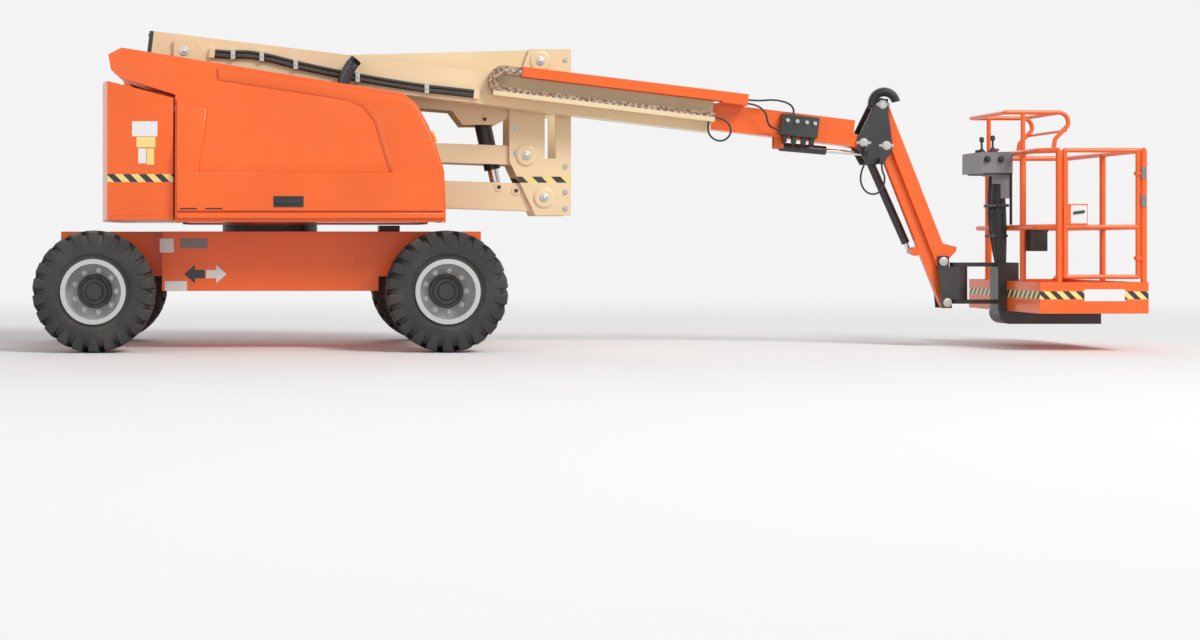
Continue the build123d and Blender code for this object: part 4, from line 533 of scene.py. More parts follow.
def mottled(name, colour, spots):
    """Oily steel links with dark dirt between bright worn faces."""
    made, tree, shader = blank_material(name)
    dirt = ramp(tree, noise(tree, object_point(tree), 62.0, 3), 0.42, 0.56)
    weathered(tree, shader, mix_colour(tree, dirt, spots, colour), 0.5, 0.38)
    bump(tree, shader, dirt, 0.3, 0.002)
    shader.inputs["Metallic"].default_value = 0.1
    return made


def rubbery(name, colour, gloss, dust, ripple=260, strength=0.25):
    """Rubber or moulded plastic with a fine grain."""
    made, tree, shader = blank_material(name)
    aged = weathered(tree, shader, colour, dust, gloss, ripple)
    bump(tree, shader, aged.outputs["Height"], strength, 0.001)
    return made


def finish(name):
    """A finish by name, made on first use."""
    made = bpy.data.materials.get(name)
    if made is not None:
        return made
    hue = colours()
    makers = {
        "Orange paint": lambda: painted(name, hue.orange[:], gloss=0.24, dust=0.2),
        "Orange tube": lambda: painted(name, hue.orange[:], gloss=0.27, dust=0.15, rub=0.5, width=0.003),
        "Cream paint": lambda: painted(name, hue.cream[:], gloss=0.32, dust=0.25),
        "Black paint": lambda: painted(name, hue.black[:], gloss=0.35, dust=0.35, rub=0.5, width=0.004,
                                       bare=(0.2, 0.19, 0.18, 1)),
        "Rim paint": lambda: painted(name, hue.silver[:], gloss=0.33, dust=0.5, rub=0.3, width=0.004),
        "Console grey": lambda: painted(name, hue.grey[:], gloss=0.42, dust=0.4, rub=0.3, width=0.003),
        "Chrome rod": lambda: metal(name, (0.78, 0.78, 0.8, 1), 0.1, 0.1),
        "Bright steel": lambda: metal(name, (0.55, 0.54, 0.52, 1), 0.32, 0.3),
        "Chain steel": lambda: mottled(name, (0.50, 0.34, 0.23, 1), (0.15, 0.075, 0.045, 1)),
        "Tyre rubber": lambda: rubbery(name, hue.rubber[:], 0.72, 0.45),
        "Black plastic": lambda: rubbery(name, hue.black[:], 0.5, 0.35, 420, 0.15),
        "Hose rubber": lambda: rubbery(name, hue.black[:], 0.45, 0.25, 700, 0.2),
        "White label": lambda: painted(name, (0.82, 0.82, 0.8, 1), gloss=0.4, dust=0.3, rub=0.0),
        "Yellow label": lambda: painted(name, hue.stripe[:], gloss=0.4, dust=0.3, rub=0.0),
        "Red knob": lambda: rubbery(name, (0.6, 0.02, 0.015, 1), 0.35, 0.15, 420, 0.1),
        "Amber lens": lambda: rubbery(name, hue.amber[:], 0.12, 0.1, 900, 0.05),
        "Counterweight paint": lambda: painted(name, hue.orange[:], gloss=0.24, dust=0.2,
                                               bars=COUNTERWEIGHT_BARS),
        "Toe board paint": lambda: painted(name, hue.orange[:], gloss=0.24, dust=0.2, bars=TOE_BOARD_BARS),
        "Upright paint": lambda: painted(name, hue.cream[:], gloss=0.32, dust=0.25, bars=UPRIGHT_BARS),
    }
    return makers[name]()


# Which solids of the frame have which finish
FINISH_OF = {
    "Orange paint": ["chassis_frame", "turntable_frame", "hood_near", "hood_far", "fly_boom",
                     "carrier_tube", "jib_upper_arm", "jib_lower_arm"],
    "Counterweight paint": ["counterweight"],
    "Toe board paint": ["platform_floor"],
    "Upright paint": ["upright"],
    "Orange tube": ["platform_rails", "console_guard", "platform_gate"],
    "Cream paint": ["lower_riser", "timing_link", "upper_riser", "boom_knuckle", "main_boom"],
    "Black paint": ["swing_bearing", "steer_axle", "drive_axle", "knuckle_near", "knuckle_far", "tie_rod",
                    "engine_block", "tower_cyl_barrel", "tower_cyl_stage", "lift_cyl_barrel",
                    "level_cyl_barrel", "jib_cyl_barrel", "jib_knuckle", "rotator", "platform_support",
                    "valve_block", "boom_tail_cap"],
    "Rim paint": ["rim_steer_near", "rim_steer_far", "rim_drive_near", "rim_drive_far"],
    "Tyre rubber": ["tyre_steer_near", "tyre_steer_far", "tyre_drive_near", "tyre_drive_far"],
    "Chrome rod": ["tower_cyl_rod", "lift_cyl_rod", "level_cyl_rod", "jib_cyl_rod"],
    "Chain steel": ["carrier_lower", "carrier_loop"],
    "Console grey": ["control_console"],
}


class LIFT_OT_finishes(bpy.types.Operator):
    """Gives every solid of the frame its finish"""
    bl_idname = "lift.finishes"
    bl_label = "Finishes"

    def execute(self, context):
        for name, nodes in FINISH_OF.items():
            for node in nodes:
                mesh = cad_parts[node].data
                mesh.materials.clear()
                mesh.materials.append(finish(name))
        return {"FINISHED"}


class LIFT_OT_wheels(bpy.types.Operator):
    """Makes the lugged tyres, wheel nuts and hub caps"""
    bl_idname = "lift.wheels"
    bl_label = "Wheels"

    # A lug from the side wall over the shoulder to the middle of the tread: inner radius, place across and
    # outer radius as shares of the tyre's, then half width and slant as shares of the lugs' pitch
    LUG_STATIONS = [(0.735, 1.0, 0.775, 0.30, 0.0), (0.86, 0.975, 0.865, 0.34, 0.0),
                    (0.9, 0.93, 0.962, 0.36, 0.0), (0.9, 0.72, 0.996, 0.36, 0.03),
                    (0.9, 0.38, 1.0, 0.31, 0.2), (0.9, -0.04, 1.0, 0.27, 0.42)]
    # Hub cap behind the rim's edge, and the wheel's disc behind the hub cap's face
    CAP_INSET, DISC_INSET = 0.15, 0.064
    CAP_BOLTS, CAP_CIRCLE, NUT_CIRCLE = 8, 0.104, 0.148

    def execute(self, context):
        for end in ("steer", "drive"):
            for side, out in (("near", -1), ("far", 1)):
                low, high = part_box(f"tyre_{end}_{side}")
                centre = (Vector(low) + Vector(high)) / 2
                self.add_tyre(end, side, centre, (high[2] - low[2]) / 2, (high[1] - low[1]) / 2)
                self.add_hub(end, side, centre, out)
        return {"FINISHED"}

    def add_tyre(self, end, side, centre, radius, half):
        """Bulging carcass with staggered lugs that reach down the shoulders."""
        form = bmesh.new()
        depth = radius * 0.068
        lip = radius * 0.535
        profile = [(lip - 0.012, half - 0.03), (lip, half - 0.008), (lip + 0.012, half - 0.016),
                   (lip + 0.03, half - 0.010), (lip + 0.034, half - 0.002), (lip + 0.05, half),
                   (radius * 0.76, half - 0.002), (radius * 0.84, half - 0.012),
                   (radius * 0.9, half - 0.034), (radius - depth - 0.006, half - 0.07),
                   (radius - depth, half * 0.4)]
        mirrored = [(r, -y) for r, y in reversed(profile)]
        add_lathe(form, profile + mirrored + [(lip - 0.012, 0)], centre, (0, 1, 0), 88, closed=True)
        lugs = sizes().lugs
        pitch = 2 * pi / lugs
        for index in range(lugs):
            self.add_lug(form, centre, pitch * index, 1, radius, half, pitch)
            self.add_lug(form, centre, pitch * (index + 0.5), -1, radius, half, pitch)
        piece = add_piece(f"tread_{end}_{side}", form, f"wheel_{end}_{side}", "Tyre rubber",
                          bevel=0.004)
        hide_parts(f"tyre_{end}_{side}")

    def add_lug(self, form, centre, angle, way, radius, half, pitch):
        """One lug on the half of the tread that way points to."""
        rows = []
        for inner, across, outer, width, slant in self.LUG_STATIONS:
            row = []
            crown = width * 0.86
            for turn, reach in ((-width, inner), (-crown, outer), (crown, outer), (width, inner)):
                a = angle + pitch * (turn * 0.94 + slant)
                drop = 0.97 if reach == inner and across > 0.9 else 1.0
                row.append(form.verts.new(centre + Vector((
                    radius * reach * cos(a), way * half * across * drop, radius * reach * sin(a)))))
            rows.append(row)
        join_rings(form, rows)

    def add_hub(self, end, side, centre, out):
        """Black hub cap with a ring of bolts, and nuts on the wheel disc."""
        axis = Vector((0, out, 0))
        low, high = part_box(f"rim_{end}_{side}")
        face = (high[1] - low[1]) / 2 - self.CAP_INSET
        cap = bmesh.new()
        add_lathe(cap, [(0.118, face - 0.06), (0.118, face - 0.004), (0.114, face + 0.002),
                        (0.094, face + 0.004), (0.09, face + 0.016), (0.062, face + 0.02),
                        (0.056, face + 0.034), (0.02, face + 0.036)], centre, axis, 48)
        self.add_bolt_circle(cap, centre + axis * (face + 0.002), axis, self.CAP_BOLTS, self.CAP_CIRCLE,
                             0.007, 0.008, turned=0.5)
        add_piece(f"hub_cap_{end}_{side}", cap, f"wheel_{end}_{side}", "Black paint")
        nuts = bmesh.new()
        self.add_bolt_circle(nuts, centre + axis * (face - self.DISC_INSET), axis, sizes().nuts,
                             self.NUT_CIRCLE, 0.014, 0.026)
        add_piece(f"wheel_nuts_{end}_{side}", nuts, f"wheel_{end}_{side}", "Bright steel")

    def add_bolt_circle(self, form, centre, axis, count, circle, radius, height, turned=0.0):
        """Bolts on a circle round the wheel's axis, turned by a share of their pitch."""
        for index in range(count):
            a = 2 * pi * (index + turned) / count
            add_bolt(form, centre + Vector((circle * cos(a), 0, circle * sin(a))), axis, radius, height)


def spline_points(piece):
    """Points along a curve without a bevel."""
    mesh = bpy.data.meshes.new_from_object(piece)
    spots = [vert.co.copy() for vert in mesh.vertices]
    bpy.data.meshes.remove(mesh)
    return spots


class LIFT_OT_hoses(bpy.types.Operator):
    """Lays the hoses along the boom, out of the cable carrier and at the jib's knuckle"""
    bl_idname = "lift.hoses"
    bl_label = "Hoses"

    BOOM_RADIUS = 0.013
    SMALL_RADIUS = 0.007
    # Clips at shares of the boom hoses' length, each of bent strip
    CLIPS = (0.1, 0.27, 0.45, 0.64, 0.84)
    CLIP_HALF, CLIP_STRIP = 0.016, 0.004
    BOOM_HALF = 0.1

    def execute(self, context):
        lines = []
        for way, node in ((1, "boom_hose_upper"), (-1, "boom_hose_lower")):
            rise = way * BOOM_HOSE_PITCH / 2
            route = [BOOM @ Vector((along, BOOM_HOSE_ACROSS, up + rise)) for along, up in BOOM_HOSE_ROUTE]
            lines.append(self.lay(node, "main_boom", route, self.BOOM_RADIUS))
        self.add_clips(*lines)
        for node, body, route in (("trough_hose", "main_boom", TROUGH_HOSE_ROUTE),
                                  ("tube_hose_upper", "fly_boom", TUBE_HOSE_UPPER),
                                  ("tube_hose_lower", "fly_boom", TUBE_HOSE_LOWER)):
            self.lay(node, body, [BOOM @ Vector(point) for point in route], self.SMALL_RADIUS)
        route = [Vector(point) for point in KNUCKLE_HOSE_ROUTE]
        self.lay("knuckle_hose", "jib_knuckle", route, self.SMALL_RADIUS)
        return {"FINISHED"}

    def lay(self, node, body, points, radius):
        """One hose; returns the points of its line."""
        line = bpy.data.curves.new(f"{node}_line", "CURVE")
        line.dimensions = "3D"
        spline = line.splines.new("NURBS")
        spline.points.add(len(points) - 1)
        for spot, point in zip(spline.points, points):
            spot.co = (*point, 1)
        spline.order_u = 3
        spline.use_endpoint_u = True
        spline.resolution_u = 10
        piece = bpy.data.objects.new(f"{node}_line", line)
        bpy.context.collection.objects.link(piece)
        spots = spline_points(piece)
        line.bevel_depth = radius
        line.bevel_resolution = 4
        line.use_fill_caps = True
        line.materials.append(finish("Hose rubber"))
        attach(piece, body)
        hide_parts(node)
        return spots

    def add_clips(self, upper, lower):
        """Steel clips that hold both hoses to the boom's side."""
        form = bmesh.new()
        reach = self.BOOM_RADIUS + 0.003
        wall = BOOM_Y - self.BOOM_HALF
        half, sheet = self.CLIP_HALF, self.CLIP_STRIP
        for share in self.CLIPS:
            high, low = (spots[round(share * (len(spots) - 1))] for spots in (upper, lower))
            x, front = (high.x + low.x) / 2, high.y - reach
            add_box(form, (x - half, front, low.z - reach), (x + half, front + sheet, high.z + reach))
            for z in (low.z - reach, high.z + reach):
                add_box(form, (x - half, front, z - sheet / 2), (x + half, wall, z + sheet / 2))
            add_bolt(form, (x, front, (high.z + low.z) / 2), (0, -1, 0), 0.007, 0.007)
        add_piece("boom_hose_clips", form, "main_boom", "Bright steel", bevel=0.001)


class LIFT_OT_hoods(bpy.types.Operator):
    """Adds the hoods' raised skins, handles, hinges and lamp, the blank plates behind them and the exhaust"""
    bl_idname = "lift.hoods"
    bl_label = "Hoods"

    # The side faces lean in above one height; outlines of the skins are (X, Z) on those faces
    LEAN_FROM, LEAN_TO, LEAN = 1.30, 2.12, 0.15
    SKIRT = [[(-2.884, 0.925), (-1.032, 0.925), (-1.034, 0.968), (-2.884, 0.968)]]
    PANEL_FRAME = [
        [(-2.884, 0.977), (-2.74, 0.977), (-2.73, 1.249), (-2.884, 1.249)],
        [(-2.74, 0.977), (-1.409, 0.977), (-1.409, 1.249), (-2.73, 1.249)],
        [(-1.409, 0.977), (-1.034, 0.977), (-1.042, 1.249), (-1.409, 1.249)],
        [(-2.884, 1.249), (-2.73, 1.249), (-2.724, 1.30), (-2.884, 1.30)],
        [(-1.409, 1.249), (-1.042, 1.249), (-1.056, 1.30), (-1.436, 1.30)],
        [(-2.884, 1.30), (-2.724, 1.30), (-2.668, 1.687), (-2.83, 1.752), (-2.884, 1.752)],
        [(-1.436, 1.30), (-1.056, 1.30), (-1.094, 1.419), (-1.149, 1.569), (-1.229, 1.718), (-1.52, 1.60)],
        [(-1.52, 1.60), (-1.229, 1.718), (-1.33, 1.775), (-1.66, 1.823), (-1.70, 1.745), (-1.60, 1.70)],
        [(-1.70, 1.745), (-1.66, 1.823), (-2.60, 1.977), (-2.60, 1.885)]]
    # Where the skin's inner corners move to as the skin is raised, so that it slopes down to the panel
    SLOPES = {(-1.409, 1.249): (0.03, -0.01), (-1.436, 1.30): (0.034, 0), (-1.52, 1.60): (0.036, 0.012),
              (-1.60, 1.70): (0.026, 0.03), (-1.70, 1.745): (0.012, 0.038), (-2.60, 1.885): (0, 0.04),
              (-2.73, 1.249): (-0.008, -0.008), (-2.724, 1.30): (-0.008, 0),
              (-2.668, 1.687): (-0.008, -0.006)}
    HANDLE_X, HANDLE_Z = -2.111, 1.043
    # Painted shade of drain slots: thin black plates on the hood's face, as X low, X high, Z low and Z high
    DRAIN_SLOT_SHADOWS = [(-2.86, -2.74, 0.990, 1.0), (-2.685, -2.565, 0.990, 1.0)]
    HINGES_X, HINGE_Y = (-2.62, -2.1, -1.6), 0.6
    # The hoods' crest falls from its rear end towards the front
    CREST_X, CREST_Z, CREST_FALL, CREST_SLOPE = -3.27375, 2.12, 0.32 / 1.96, radians(9.3)
    LAMP = Matrix.Translation((-1.120, -0.93, 1.49)) @ Matrix.Rotation(radians(-20), 4, "Y")
    # Blank plates on the counterweight's sides, as X low, X high, Z low and Z high
    LABELS = {"White": [(-3.194, -3.017, 1.495, 1.601), (-3.151, -3.095, 1.308, 1.413)],
              "Yellow": [(-3.163, -3.031, 1.419, 1.493), (-3.092, -3.040, 1.298, 1.413)]}
    PIPE_RADIUS, PIPE_WALL = 0.045, 0.006
    # Heights of the pipe's collar, the bend's foot and its corner, and the mouth forward of the pipe and up
    COLLAR_Z, BEND_Z, CORNER_Z, MOUTH = 1.6, 1.86, 1.965, (0.0964, 2.0749)
    BANDS_Z, BAND_HALF, BAND_RISE = (1.25, 1.62), 0.012, 0.004

    def execute(self, context):
        for side, out in (("near", -1), ("far", 1)):
            self.add_skin(side, out)
            self.add_handle(side, out)
        self.add_lamp()
        self.add_labels()
        self.add_exhaust()
        return {"FINISHED"}

    def face(self, x, z, out):
        """Point on a hood's side face."""
        lean = self.LEAN * max(0.0, z - self.LEAN_FROM) / (self.LEAN_TO - self.LEAN_FROM)
        low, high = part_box("hood_near")
        return (x, out * (-low[1] - lean), z)

    def add_skin(self, side, out):
        """Skin that stands proud all round the inset upper panel and slopes down to it."""
        for name, faces in (("skin", self.PANEL_FRAME), ("skirt", self.SKIRT)):
            form = bmesh.new()
            for outline in faces:
                form.faces.new([form.verts.new(self.face(x, z, out)) for x, z in outline])
            bmesh.ops.remove_doubles(form, verts=form.verts, dist=0.0005)
            bmesh.ops.recalc_face_normals(form, faces=form.faces)
            raised = bmesh.ops.extrude_face_region(form, geom=form.faces[:])["geom"]
            for vert in raised:
                if isinstance(vert, bmesh.types.BMVert):
                    x, z = self.slope(vert.co.x, vert.co.z)
                    vert.co = Vector(self.face(x, z, out)) + Vector((0, out * sizes().skin, 0))
            add_piece(f"hood_{name}_{side}", form, f"hood_{side}", "Orange paint",
                      bevel=0.008)

    def slope(self, x, z):
        """Where a corner of the skin comes to lie once it is raised."""
        for (corner_x, corner_z), (move_x, move_z) in self.SLOPES.items():
            if abs(x - corner_x) < 0.001 and abs(z - corner_z) < 0.001:
                return x + move_x, z + move_z
        return x, z

    def add_handle(self, side, out):
        """Black paddle latch in a shallow dish, thin black plates of painted shade for drain slots along the
        lower edge, and hinges on the crest.
        """
        form = bmesh.new()
        x, z = self.HANDLE_X, self.HANDLE_Z
        y = self.face(x, z, out)[1] + out * sizes().skin
        for half_x, half_z, rise in ((0.104, 0.038, 0.004), (0.085, 0.014, 0.015)):
            y0, y1 = sorted((y, y + out * rise))
            add_box(form, (x - half_x, y0, z - half_z), (x + half_x, y1, z + half_z))
        # Painted shade: black plates stand for the dark openings of the drain slots
        for low, high in side_plates(self.DRAIN_SLOT_SHADOWS, y, out):
            add_box(form, low, high)
        add_piece(f"hood_latch_and_slot_shade_{side}", form, f"hood_{side}", "Black plastic", bevel=0.003)
        hinges = bmesh.new()
        for hinge_x in self.HINGES_X:
            crest = self.CREST_Z - (hinge_x - self.CREST_X) * self.CREST_FALL
            turn = (Matrix.Translation((hinge_x, out * self.HINGE_Y, crest))
                    @ Matrix.Rotation(self.CREST_SLOPE, 4, "Y"))
            add_box(hinges, (-0.06, -0.035, 0), (0.06, 0.035, 0.005), turn)
            for bolt_x in (-0.04, 0.04):
                add_bolt(hinges, turn @ Vector((bolt_x, 0, 0.005)), (0, 0, 1), 0.007, 0.006)
        add_piece(f"hood_hinges_{side}", hinges, f"hood_{side}", "Orange paint", bevel=0.0015)

    def add_lamp(self):
        """Amber marker lamp on the near hood's nose."""
        form = bmesh.new()
        add_box(form, (-0.004, -0.03, -0.04), (0.034, 0.03, 0.04), self.LAMP)
        add_piece("marker_lamp", form, "hood_near", "Amber lens", bevel=0.008)

    def add_labels(self):
        """Blank plates on the counterweight's sides."""
        low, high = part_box("counterweight")
        for side, y, out in (("near", low[1], -1), ("far", high[1], 1)):
            for name, plates in self.LABELS.items():
                add_plates(f"label_{name.lower()}_{side}", side_plates(plates, y, out), "turntable",
                           f"{name} label")

    def add_exhaust(self):
        """Smoothly bent pipe with an open mouth, and its clamp bands."""
        low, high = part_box("exhaust_stack")
        x, y = low[0] + self.PIPE_RADIUS, (low[1] + high[1]) / 2
        bend, corner = Vector((x, y, self.BEND_Z)), Vector((x, y, self.CORNER_Z))
        tip = Vector((x + self.MOUTH[0], y, self.MOUTH[1]))
        points = [Vector((x, y, low[2])), Vector((x, y, self.COLLAR_Z))]
        for step in range(11):
            share = step / 10
            points.append(bend.lerp(corner, share).lerp(corner.lerp(tip, share), share))
        form = bmesh.new()
        add_tube(form, points, self.PIPE_RADIUS, 36)
        form.faces.ensure_lookup_table()
        mouth = form.faces[-1]
        bmesh.ops.inset_region(form, faces=[mouth], thickness=self.PIPE_WALL)
        inner = bmesh.ops.extrude_discrete_faces(form, faces=[mouth])["faces"][0]
        bmesh.ops.translate(form, verts=inner.verts, vec=(points[-2] - tip).normalized() * 0.06)
        pipe = add_piece("exhaust_pipe", form, "turntable", "Black paint")
        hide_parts("exhaust_stack")
        bands = bmesh.new()
        inside, outside, half = self.PIPE_RADIUS, self.PIPE_RADIUS + self.BAND_RISE, self.BAND_HALF
        for z in self.BANDS_Z:
            add_lathe(bands, [(inside, -half), (outside, -half), (outside, half), (inside, half)],
                      (x, y, z), (0, 0, 1), 36)
        add_piece("exhaust_bands", bands, "turntable", "Bright steel")


class LIFT_OT_chassis(bpy.types.Operator):
    """Adds the chassis's direction arrows, blank plates and small fittings"""
    bl_idname = "lift.chassis"
    bl_label = "Chassis"

    ARROW_X, ARROW_Z = -2.695, 0.537
    ARROW_HALF = [(0.004, 0.03), (0.075, 0.03), (0.075, 0.066), (0.152, 0), (0.075, -0.066), (0.075, -0.03),
                  (0.004, -0.03)]
    # Plates on the frame's sides, as X low, X high, Z low and Z high
    WHITE_PLATES = [(-3.02, -2.92, 0.69, 0.79), (-2.985, -2.825, 0.418, 0.488)]
    GREY_PLATES = [(-2.875, -2.68, 0.72, 0.79)]
    MANIFOLD = [((-1.45, -0.42, 0.84), (-1.3, -0.2, 0.884))]
    AXLE_BOLTS_Y, AXLE_BOLTS_Z = (-0.18, -0.06, 0.06, 0.18), 0.47

    def execute(self, context):
        low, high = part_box("chassis_frame")
        for side, out, y in (("near", -1, low[1]), ("far", 1, high[1])):
            self.add_arrow(side, out, y)
            add_plates(f"chassis_plates_{side}", side_plates(self.WHITE_PLATES, y, out), "chassis",
                       "White label")
            add_plates(f"chassis_grey_plate_{side}", side_plates(self.GREY_PLATES, y, out), "chassis",
                       "Console grey")
        add_plates("chassis_manifold", self.MANIFOLD, "chassis", "Black paint", bevel=0.004)
        self.add_axle_bolts()
        return {"FINISHED"}

    def add_arrow(self, side, out, y):
        """Double arrow: a black half and a white half."""
        for name, way, tone in (("Black paint", -1, "black"), ("White label", 1, "white")):
            form = bmesh.new()
            corners = [(self.ARROW_X + way * x, y, self.ARROW_Z + z) for x, z in self.ARROW_HALF]
            add_sheet(form, corners, (0, out * PLATE, 0))
            add_piece(f"arrow_{side}_{tone}", form, "chassis", name, smooth=False)

    def add_axle_bolts(self):
        """Bolts on the axles' saddles."""
        form = bmesh.new()
        for node in ("steer_axle", "drive_axle"):
            low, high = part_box(node)
            for y in self.AXLE_BOLTS_Y:
                for x, way in ((low[0], -1), (high[0], 1)):
                    add_bolt(form, (x, y, self.AXLE_BOLTS_Z), (way, 0, 0), 0.012, 0.012)
        add_piece("axle_bolts", form, "chassis", "Bright steel")


class LIFT_OT_tower(bpy.types.Operator):
    """Adds bosses, pin ends, rings and bolts to the tower, and a sleeve to its cylinder"""
    bl_idname = "lift.tower"
    bl_label = "Tower"

    # Outer faces of the tower's plates, its risers and the rear knuckle, as Y and the way out
    PLATES = ((-0.16, -1), (0.28, 1))
    RISERS = ((-0.13, -1), (0.25, 1))
    KNUCKLE_NEAR, KNUCKLE_FAR = -0.41, 0.28
    MIDDLE = 0.06
    # Sleeve at the mouth of the tower cylinder's barrel: radii, and its two ends along the cylinder
    SLEEVE_RADII, SLEEVE_ENDS = (0.053, 0.06), (0.285, 0.372)
    FRONT_BOLTS_Z, REAR_BOLTS_Z = (1.01, 1.13, 1.32, 2.1), (1.42, 1.6)

    def execute(self, context):
        for body, pins in TOWER_PINS.items():
            self.add_plate_pins(body, pins)
        self.add_knuckle_pins()
        for body, pins in (("upper_riser", [TOWER_CYL_PIN]), ("lower_riser", RISER_PINS)):
            self.add_riser_pins(body, pins)
        self.add_cylinder_sleeve()
        self.add_upright_bolts()
        return {"FINISHED"}

    def add_plate_pins(self, body, pins):
        """Raised bosses round the pins in the plates, and the pins' ends."""
        bosses, ends = bmesh.new(), bmesh.new()
        for pin in pins:
            for y, out in self.PLATES:
                add_lathe(bosses, [(0.075, -SUNK), (0.075, 0.008), (0.068, 0.012), (0.05, 0.012)],
                          side_place(pin, y), (0, out, 0), 40)
                add_boss(ends, side_place(pin, y + out * 0.012), (0, out, 0), 0.032, 0.014)
        add_piece(f"{body}_bosses", bosses, body, "Cream paint")
        add_piece(f"{body}_pin_ends", ends, body, "Bright steel")

    def add_knuckle_pins(self):
        """Ends of the three pins in the boom's rear knuckle."""
        form = bmesh.new()
        for pin in (BOOM_PIN, LIFT_FOOT):
            add_boss(form, side_place(pin, self.KNUCKLE_NEAR), (0, -1, 0), 0.034, 0.014)
        add_boss(form, side_place(RISER_REAR, self.KNUCKLE_FAR), (0, 1, 0), 0.05, 0.014)
        add_piece("knuckle_pin_ends", form, "boom_knuckle", "Bright steel")

    def add_riser_pins(self, body, pins):
        """Rings and dark bolts on both sides of a riser."""
        rings, bolts = bmesh.new(), bmesh.new()
        for pin in pins:
            for y, out in self.RISERS:
                add_lathe(rings, [(0.036, -SUNK), (0.036, 0.004), (0.022, 0.005)], side_place(pin, y),
                          (0, out, 0), 32)
                add_bolt(bolts, side_place(pin, y + out * 0.005), (0, out, 0), 0.015, 0.008, washer=False)
        add_piece(f"{body}_pin_rings", rings, body, "Cream paint")
        add_piece(f"{body}_pin_bolts", bolts, body, "Black paint")

    def add_cylinder_sleeve(self):
        """Black wiper sleeve at the mouth of the tower cylinder's barrel."""
        pin, eye = (Vector(side_place(place, self.MIDDLE)) for place in (TOWER_CYL_PIN, RISER_PINS[0]))
        inside, outside = self.SLEEVE_RADII
        start, stop = self.SLEEVE_ENDS
        form = bmesh.new()
        add_lathe(form, [(inside, start), (outside, start), (outside, stop), (inside, stop)],
                  pin, (eye - pin).normalized(), 40, closed=True)
        add_piece("tower_cyl_sleeve", form, "tower_barrel", "Black paint")

    def add_upright_bolts(self):
        """Bolts along the front and rear edges of the upright's plates."""
        form = bmesh.new()
        low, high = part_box("upright")
        places = [(high[0] - 0.04, z) for z in self.FRONT_BOLTS_Z]
        places += [(low[0] + 0.05, z) for z in self.REAR_BOLTS_Z]
        for y, out in self.PLATES:
            for x, z in places:
                add_bolt(form, (x, y, z), (0, out, 0), 0.014, 0.014)
        add_piece("upright_bolts", form, "upright", "Bright steel")


class LIFT_OT_boom(bpy.types.Operator):
    """Adds bolts to the boom, rivets to the cable carrier and fittings to the valve block"""
    bl_idname = "lift.boom"
    bl_label = "Boom"

    # Places along the boom: its nose's bolts, its tail, the carrier's rear end and the valve block's coils
    NOSE_BOLTS, TAIL, CARRIER_REAR = (3.765, 3.815), -0.264, 2.307
    COILS = (4.385, 4.455, 4.525, 4.585)
    LINK_PITCH, LINK_GAP, LINK_NEAR = 0.095, 0.016, -0.195

    def execute(self, context):
        form = bmesh.new()
        up = BOOM.to_3x3() @ Vector((0, 0, 1))
        for along in self.NOSE_BOLTS:
            for across in (-0.06, 0.06):
                add_bolt(form, BOOM @ Vector((along, across, 0.1175)), up, 0.011, 0.012)
            for height in (-0.07, 0.07):
                add_bolt(form, BOOM @ Vector((along, 0.1, height)), (0, 1, 0), 0.011, 0.012)
        back = BOOM.to_3x3() @ Vector((-1, 0, 0))
        for across in (-0.075, 0.075):
            for height in (-0.09, 0.09):
                add_bolt(form, BOOM @ Vector((self.TAIL, across, height)), back, 0.010, 0.010)
        add_piece("boom_bolts", form, "main_boom", "Bright steel")
        self.add_rivets("carrier_lower", "main_boom", 3.848, -0.0147)
        self.add_rivets("carrier_loop", "carrier_loop", 4.007, 0.1403)
        self.add_fittings(up)
        return {"FINISHED"}

    def add_rivets(self, name, body, front, height):
        """Two rivets on the near side of each link, from the carrier's rear end to its front."""
        form = bmesh.new()
        for index in range(int((front - self.CARRIER_REAR) / self.LINK_PITCH)):
            link = self.CARRIER_REAR + index * self.LINK_PITCH
            for share in (0.2, 0.8):
                along = link + share * (self.LINK_PITCH - self.LINK_GAP)
                place = BOOM @ Vector((along, self.LINK_NEAR, height))
                add_lathe(form, [(0.011, -SUNK), (0.010, 0.0018)], place, (0, -1, 0), 12)
        add_piece(f"{name}_rivets", form, body, "Bright steel")

    def add_fittings(self, up):
        """Coils below the valve block and hose fittings on its side."""
        coils, fittings = bmesh.new(), bmesh.new()
        for along in self.COILS:
            add_lathe(coils, [(0.02, 0), (0.02, 0.05), (0.013, 0.052), (0.013, 0.064)],
                      BOOM @ Vector((along, -0.105, -0.075)), -up, 24)
            place = BOOM @ Vector((along, -0.135, 0.03))
            add_lathe(fittings, [(0.016, 0), (0.016, 0.016)], place, (0, -1, 0), 6)
            add_lathe(fittings, [(0.010, 0.016), (0.010, 0.024)], place, (0, -1, 0), 18)
        add_piece("valve_coils", coils, "fly_boom", "Black plastic")
        add_piece("valve_fittings", fittings, "fly_boom", "Bright steel")


